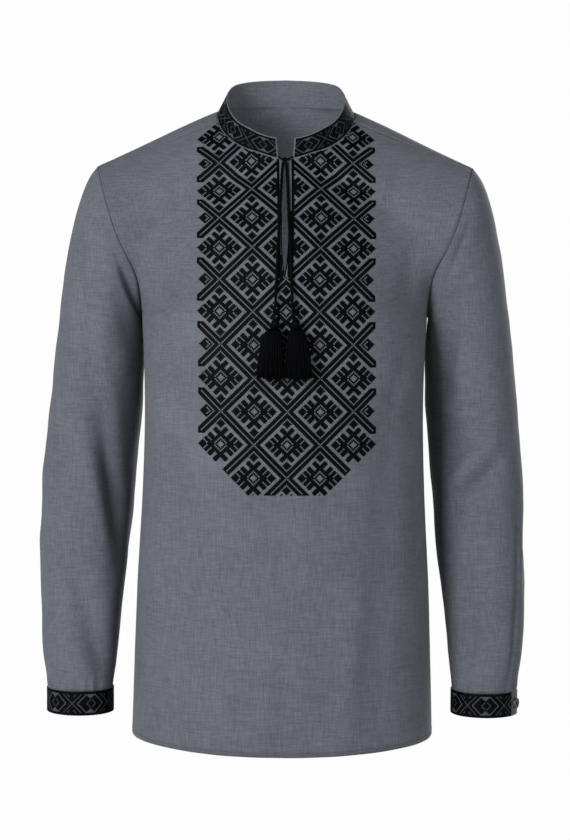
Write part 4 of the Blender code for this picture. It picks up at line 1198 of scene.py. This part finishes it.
def chest_chart(column_number, row_number):
    """Which cells of the chest are stitched: barred diamonds in a lattice of double lines."""
    rising = (column_number + row_number) / (2.0 * MOTIF_STEP)
    falling = (column_number - row_number) / (2.0 * MOTIF_STEP)
    motif_column = np.abs(MOTIF_STEP * (np.round(rising) + np.round(falling)))
    rising = rising - np.round(rising)
    falling = falling - np.round(falling)
    a = np.abs(MOTIF_STEP * (rising + falling))
    b = np.abs(MOTIF_STEP * (rising - falling))
    d = a + b
    place, half, edge = UPPER_SQUARE
    upper_square = (a + np.abs(b - place) < half) & (d < edge)
    place, half, reach = CHEVRON
    chevron = (np.abs(a - b - place) < half) & (b < reach)
    place, half, edge = SIDE_SQUARE
    side_square = (np.abs(a - place) + b < half) & (d < edge) & ~chevron
    place, half = END_SQUARE
    out = np.abs(a - place) + b
    end_line = (np.abs(out - END_LINE[0]) < END_LINE[1]) & (a > place)
    end_square = (out < half) & ~end_line
    lattice = between(d, *LATTICE)
    across = np.abs(column_number)
    upper_square &= (across < CROSSING - MOTIF_STEP / 2.0) | (row_number > CORNER_MOTIF_ROW)
    whole = lattice | upper_square | side_square | between(d, *RING) | between(d, *HEART)
    for bar in BAR_PLACES:
        whole |= between(b - a, *bar) & between(d, *BARS)
    chosen = np.where(motif_column < WHOLE_MOTIFS_REACH, whole, lattice | end_square)
    beyond = across - CROSSING
    steps = np.round((row_number / MOTIF_STEP - 1.0) / 2.0)
    level = np.abs(row_number - MOTIF_STEP - 2.0 * MOTIF_STEP * steps)
    reach = np.maximum(beyond, level)
    arm_end = (beyond > 0.0) & (np.abs(beyond - level) < ARM_HALF) & (reach > ARM_END - ARM_CUT)
    chosen = np.where(arm_end, reach < ARM_END, chosen)
    low_corner = row_number - across
    inside = (across <= CHEST_HALF) & (low_corner > CHEST_LOW_CORNER) & (row_number > CHEST_LOW_ROW)
    inside &= row_number + across < CHEST_HIGH_CORNER
    border = (low_corner < CHEST_LOW_CORNER + BORDER_CORNER) | (row_number < CHEST_LOW_ROW + BORDER_ROW)
    chosen |= border & (d > LATTICE[0]) & (beyond < 0.0)
    beside_slit = (row_number > SLIT_ROW) & between(column_number, *SLIT_COLUMNS)
    plain_strip = (row_number > STRIP_ROW) & between(column_number, *STRIP_COLUMNS)
    return np.where(beside_slit, ~plain_strip, chosen) & inside


def make_chest(cloth, thread):
    """The embroidery of the chest, its rows counted along the cloth from the tip of the slit down."""
    polygons = [tuple(face.vertices) for face in cloth.data.polygons]
    tree = BVHTree.FromPolygons([vertex.co for vertex in cloth.data.vertices], polygons)
    columns = np.arange(-CHEST_HALF, CHEST_HALF + 1)
    rows = np.arange(CHEST_ROWS[0], CHEST_ROWS[1] + 1)
    wanted = (np.arange(len(rows) + 1) + rows[0] - 0.5) * STITCH
    heights = np.linspace(*CHEST_HEIGHTS)
    spreads = read_table(CHEST_SPREADS, heights)
    shifts = read_table(CHEST_SHIFTS, heights)
    drops = SIDE_DROP * ease(heights, *SIDE_DROP_HEIGHTS)
    front = body("front", heights)
    corners = np.zeros((len(rows) + 1, len(columns) + 1, 3))
    sound = np.zeros(corners.shape[:2], dtype=bool)
    for place in range(len(columns) + 1):
        across = columns[0] - 0.5 + place
        xs = across * STITCH + np.sign(across) * spreads + shifts
        ys = front.copy()
        found = np.zeros(len(heights))
        for number, (x, z) in enumerate(zip(xs, heights)):
            hit = tree.ray_cast(Vector((x, -1.0, z)), Vector((0.0, 1.0, 0.0)))[0]
            if hit is not None and hit.y < FRONT_ONLY_Y:
                ys[number] = hit.y
                found[number] = 1.0
        steps = np.hypot(np.diff(ys) * CHEST_DEPTH_SHARE, np.diff(heights))
        length = np.concatenate([[0.0], np.cumsum(steps)])
        length -= np.interp(CHEST_ZERO_Z, heights, length)
        length += drops * (across / CHEST_HALF) ** 2
        for axis, values in enumerate((xs, ys, heights)):
            corners[:, place, axis] = np.interp(wanted, length, values)
        sound[:, place] = (np.interp(wanted, length, found) > CHEST_FOUND) & (wanted < length[-1])
    ways = np.cross(np.gradient(corners, axis=1), np.gradient(corners, axis=0))
    ways = ways / np.maximum(np.linalg.norm(ways, axis=-1, keepdims=True), SMALLEST)
    whole = sound[:-1, :-1] & sound[1:, :-1] & sound[:-1, 1:] & sound[1:, 1:]
    chosen = chest_chart(columns[None, :].astype(float), rows[:, None].astype(float)) & whole
    stitched_cells("chest_embroidery", corners, ways, chosen, thread)


def make_slit_edges(halves, thread):
    """Overcast stitches that bind the lower part of the slit's edges."""
    grid, normal = halves[True]
    rows = slice(LOWER_ROWS + FINE, LOWER_ROWS + FINE + EDGE_BOUND_ROWS)
    line = grid[rows, 0] + normal[rows, 0] * EDGE_LIFT
    parts = [tube_mesh(smooth_route(edge, CORD_STEP), EDGE_THREAD, EDGE_SIDES, *EDGE_LAY)
             for edge in (line, mirrored(line))]
    add_piece("slit_edge_stitches", *joined(parts), thread)


def band_chart(across, height, top):
    """A band's cells in black, grey and pale thread, counted from a diamond's middle and from mid band."""
    across = np.abs(across - BAND_REPEAT * np.round(across / BAND_REPEAT))
    height = np.abs(height)
    d = across + height
    foot, start, slope = BAND_WEDGE
    pale = between(d, *BAND_DIAMOND) & (height < BAND_DIAMOND_TOP)
    pale |= (height >= BAND_CAP[0]) & (height < BAND_CAP[1]) & (across < BAND_CAP_HALF)
    pale |= (height > foot) & (height <= BAND_DIAMOND_TOP) & (across < (height - start) * slope)
    middle = BAND_REPEAT / 2.0 - across
    heart, half, core = BAND_HEART
    grey = (np.abs(d - heart) < half) & (across > core)
    lines = np.abs(middle - height) < BAND_CROSS_HALF
    lines |= (np.abs(height - middle - BAND_CORNER[0]) < BAND_CROSS_HALF) & (height > BAND_CORNER[1])
    grey |= lines & (height < BAND_LINE_TOP)
    inside = height <= top
    return ~pale & ~grey & inside, grey & ~pale & inside, pale & inside


def stitch_band(name, corners, ways, charts, kept, threads):
    """The embroidery of a band, one piece for each colour of thread."""
    return [stitched_cells(name + tone, corners, ways, chart & kept, thread)
            for tone, chart, thread in zip(BAND_THREADS, charts, threads)]


def cell_heights(cells):
    """How far above mid band the middles of its cells lie, counted in cells."""
    return np.arange(cells)[:, None] + 0.5 - cells / 2.0


def make_collar(linen, threads, sewing):
    """The stand collar, its cells of stitching as wide as those of the chest."""
    turns = np.linspace(COLLAR_START_TURN, 180.0, FINE_ROUTE)
    half = distances((neckline(turns) + collar_edge(turns)) / 2.0)[-1]
    count = int(round(half / STITCH))
    foot_turns = even_turns(neckline, COLLAR_START_TURN, 180.0, count)
    shares = (foot_turns - foot_turns[0]) / (180.0 - foot_turns[0])
    edge = collar_edge(COLLAR_END_TURN + shares * (180.0 - COLLAR_END_TURN))
    foot = neckline(foot_turns)
    foot = foot - unit(edge - foot) * COLLAR_TUCK
    grid = np.array([foot + (edge - foot) * share for share in np.linspace(0.0, 1.0, COLLAR_CELLS + 1)])
    normal = outward(grid)
    normal[:, -1, 0] = 0.0
    normal = unit(normal)
    sheets = [(*on_side(side, grid, normal), False, side < 0) for side in (1, -1)]
    cloth = thin_cloth("collar_cloth", sheets, linen, BAND_THICKNESS)
    stand_in(cloth, "collar")
    across = np.arange(count)[None, :] + 0.5
    top = COLLAR_CELLS / 2.0 - COLLAR_PLAIN_CELLS
    charts = band_chart(across - COLLAR_FIRST_DIAMOND, cell_heights(COLLAR_CELLS), top)
    pieces = []
    seams = []
    for name, (corners, ways, *_) in zip(("right", "left"), sheets):
        label = "collar_embroidery_" + name
        pieces += stitch_band(label, corners, ways, charts, across > COLLAR_PLAIN_CELLS, threads)
        seams.append((corners[1] - ways[1] * BAND_THICKNESS, -ways[1]))
    pieces.append(sewn_lines("collar_seam_stitches", seams, sewing))


def make_cuff(name, side, linen, threads):
    """A cuff, lapped and buttoned, with a plain end under the button."""
    end = BUTTON_TURNS[name] + BUTTON_FROM_END
    start = end - 360.0 - CUFF_LAP
    cells_per_turn = math.radians(1.0) * CUFF_HALF_WIDTH / STITCH
    turns = np.linspace(start, end, int(round((end - start) * cells_per_turn)) + 1)
    offset = CUFF_TUCK * (ease(turns - start, CUFF_LAP, CUFF_LAP + CUFF_EASE) - 1.0)
    heights = np.linspace(CUFF_BOTTOM_Z, CUFF_TOP_Z, CUFF_CELLS + 1)
    grid = np.array([cuff_point(turns, z, offset) for z in heights])
    normal = np.array([cuff_outward(turns)] * len(heights))
    grid, normal = on_side(side, grid, normal)
    sheets = [(grid, normal, False, side < 0)]
    cloth = thin_cloth("cuff_cloth_" + name, sheets, linen, BAND_THICKNESS)
    stand_in(cloth, "cuff_" + name)
    across = (turns[:-1] + turns[1:])[None, :] / 2.0
    cells = (across - CUFF_DIAMOND_TURNS[name]) * cells_per_turn
    charts = band_chart(cells, cell_heights(CUFF_CELLS), CUFF_CELLS / 2.0)
    sewn = between(across, start + CUFF_LAP / 2.0, end - CUFF_PLAIN_END)
    pieces = stitch_band("cuff_embroidery_" + name, grid, normal, charts, sewn, threads)


def make_sleeve(name, side, base, linen):
    """A sleeve with its folds, its creases and the gathers above its cuff."""
    turns, alongs, grid, normal = base
    turns = np.broadcast_to(turns, grid.shape[:2])
    alongs = np.broadcast_to(alongs[:, None], grid.shape[:2])
    folds = [(a, b / 360.0, c, d / 360.0, width, depth) for a, b, c, d, width, depth in SLEEVE_FOLDS[name]]
    fade = ease(alongs, 0.0, SLEEVE_FOLD_TOP_FADE) * ease(1.0 - alongs, 0.0, SLEEVE_FOLD_CUFF_FADE)
    depth = fold_depth(folds, alongs, turns / 360.0, fade)
    depth = depth + unevenness(grid, name) * fade * SLEEVE_UNEVEN
    swing, rate = GATHER_WANDER
    gathers = 1.0 + np.cos(np.radians(turns * CUFF_GATHERS) + swing * np.sin(turns / 360.0 * rate))
    gathers = gathers * ease(alongs, *GATHER_START) * ease(1.0 - alongs, *GATHER_END)
    grid = grid - normal * (depth + GATHER_DEPTH * gathers)[:, :, None]
    grid[0] += armhole_direction() * SEAM_GAP / 2.0
    grid, normal = on_side(side, groove(grid, normal, [(-1, slice(None))]), normal)
    sheets = [(grid, normal, True, side > 0)]
    cloth = thin_cloth("sleeve_cloth_" + name, sheets, linen)
    stand_in(cloth, "sleeve_" + name)


def dress_button(name, side, horn, thread):
    """A polished horn button, sewn on with crossed thread."""
    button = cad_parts["button_" + name]
    button.data.materials.clear()
    button.data.materials.append(horn)
    turn = np.array(BUTTON_TURNS[name])
    place = cuff_point(turn, (CUFF_TOP_Z + CUFF_BOTTOM_Z) / 2.0, SEAM_GAP + BUTTON_MIDDLE)
    place, way = on_side(side, place, cuff_outward(turn))
    up = np.array([0.0, 0.0, 1.0])
    across = np.cross(way, up)
    shares = np.linspace(-1.0, 1.0, BUTTON_THREAD_POINTS)[:, None]
    rise = way * (BUTTON_THREAD_RISE - BUTTON_THREAD_CURVE * shares ** 2)
    parts = []
    for lean in (-1.0, 1.0):
        line = place + (across * lean + up) * BUTTON_THREAD_HALF * shares + rise
        parts.append(tube_mesh(line, BUTTON_THREAD_RADIUS, WRAP_SIDES))
    add_piece("button_thread_" + name, *joined(parts), thread)


def area_light(name, place, aim, size, power):
    """A soft light aimed at a point."""
    data = bpy.data.lights.new(name, "AREA")
    data.shape = "RECTANGLE"
    data.size, data.size_y = size
    data.energy = power
    light = bpy.data.objects.new(name, data)
    light.location = place
    light.visible_camera = False
    light.rotation_euler = (Vector(aim) - Vector(place)).to_track_quat("-Z", "Y").to_euler()
    bpy.context.scene.collection.objects.link(light)


def make_studio():
    """A white surround that is dimmer overhead, a pale floor far below, and large soft lights."""
    world = bpy.data.worlds.new("studio")
    world.use_nodes = True
    nodes = world.node_tree.nodes
    surround = nodes["Background"]
    surround.inputs["Strength"].default_value = WORLD_STRENGTH
    direction = nodes.new("ShaderNodeTexCoord")
    height = nodes.new("ShaderNodeSeparateXYZ")
    links = world.node_tree.links
    links.new(direction.outputs["Generated"], height.inputs["Vector"])
    colour = blend_colours(world.node_tree, height.outputs["Z"], OVERHEAD, (LEVEL_COLOUR, OVERHEAD_COLOUR))
    links.new(colour, surround.inputs["Color"])
    bpy.context.scene.world = world
    bpy.context.scene.view_settings.view_transform = "Standard"
    bpy.ops.mesh.primitive_plane_add(size=FLOOR_SIZE, location=(0.0, 0.0, FLOOR_Z))
    floor = bpy.context.object
    floor.name = "floor"
    paint = plain_material("pale_floor", *FLOOR_FINISH)
    paint.node_tree.nodes["Principled BSDF"].inputs["Base Color"].default_value = FLOOR_COLOUR
    floor.data.materials.append(paint)
    for light in LIGHTS:
        area_light(*light)


def main():
    """Make every piece and its look."""
    make_camera()
    linen = linen_material()
    thread = streaked_material("black_thread", *BLACK_THREAD)
    sewing = streaked_material("sewing_thread", *SEWING_THREAD)
    grey_thread = streaked_material("grey_thread", *GREY_THREAD)
    pale_thread = streaked_material("pale_thread", *PALE_THREAD)
    horn = streaked_material("horn", *HORN)
    threads = (thread, grey_thread, pale_thread)
    make_knot(thread)
    for number, (name, side) in enumerate(SIDES):
        make_tie_end(number, name, side, thread)
    halves = body_halves()
    sleeve = sleeve_base()
    join_armhole(halves, sleeve[2], sleeve[3])
    front = make_panel(halves, True, linen, sewing)
    make_panel(halves, False, linen, sewing)
    make_chest(front, thread)
    make_slit_edges(halves, thread)
    for name, side in SIDES:
        make_sleeve(name, side, sleeve, linen)
    make_collar(linen, threads, sewing)
    for name, side in SIDES:
        make_cuff(name, side, linen, threads)
    for name, side in SIDES:
        dress_button(name, side, horn, thread)
    make_studio()


main()
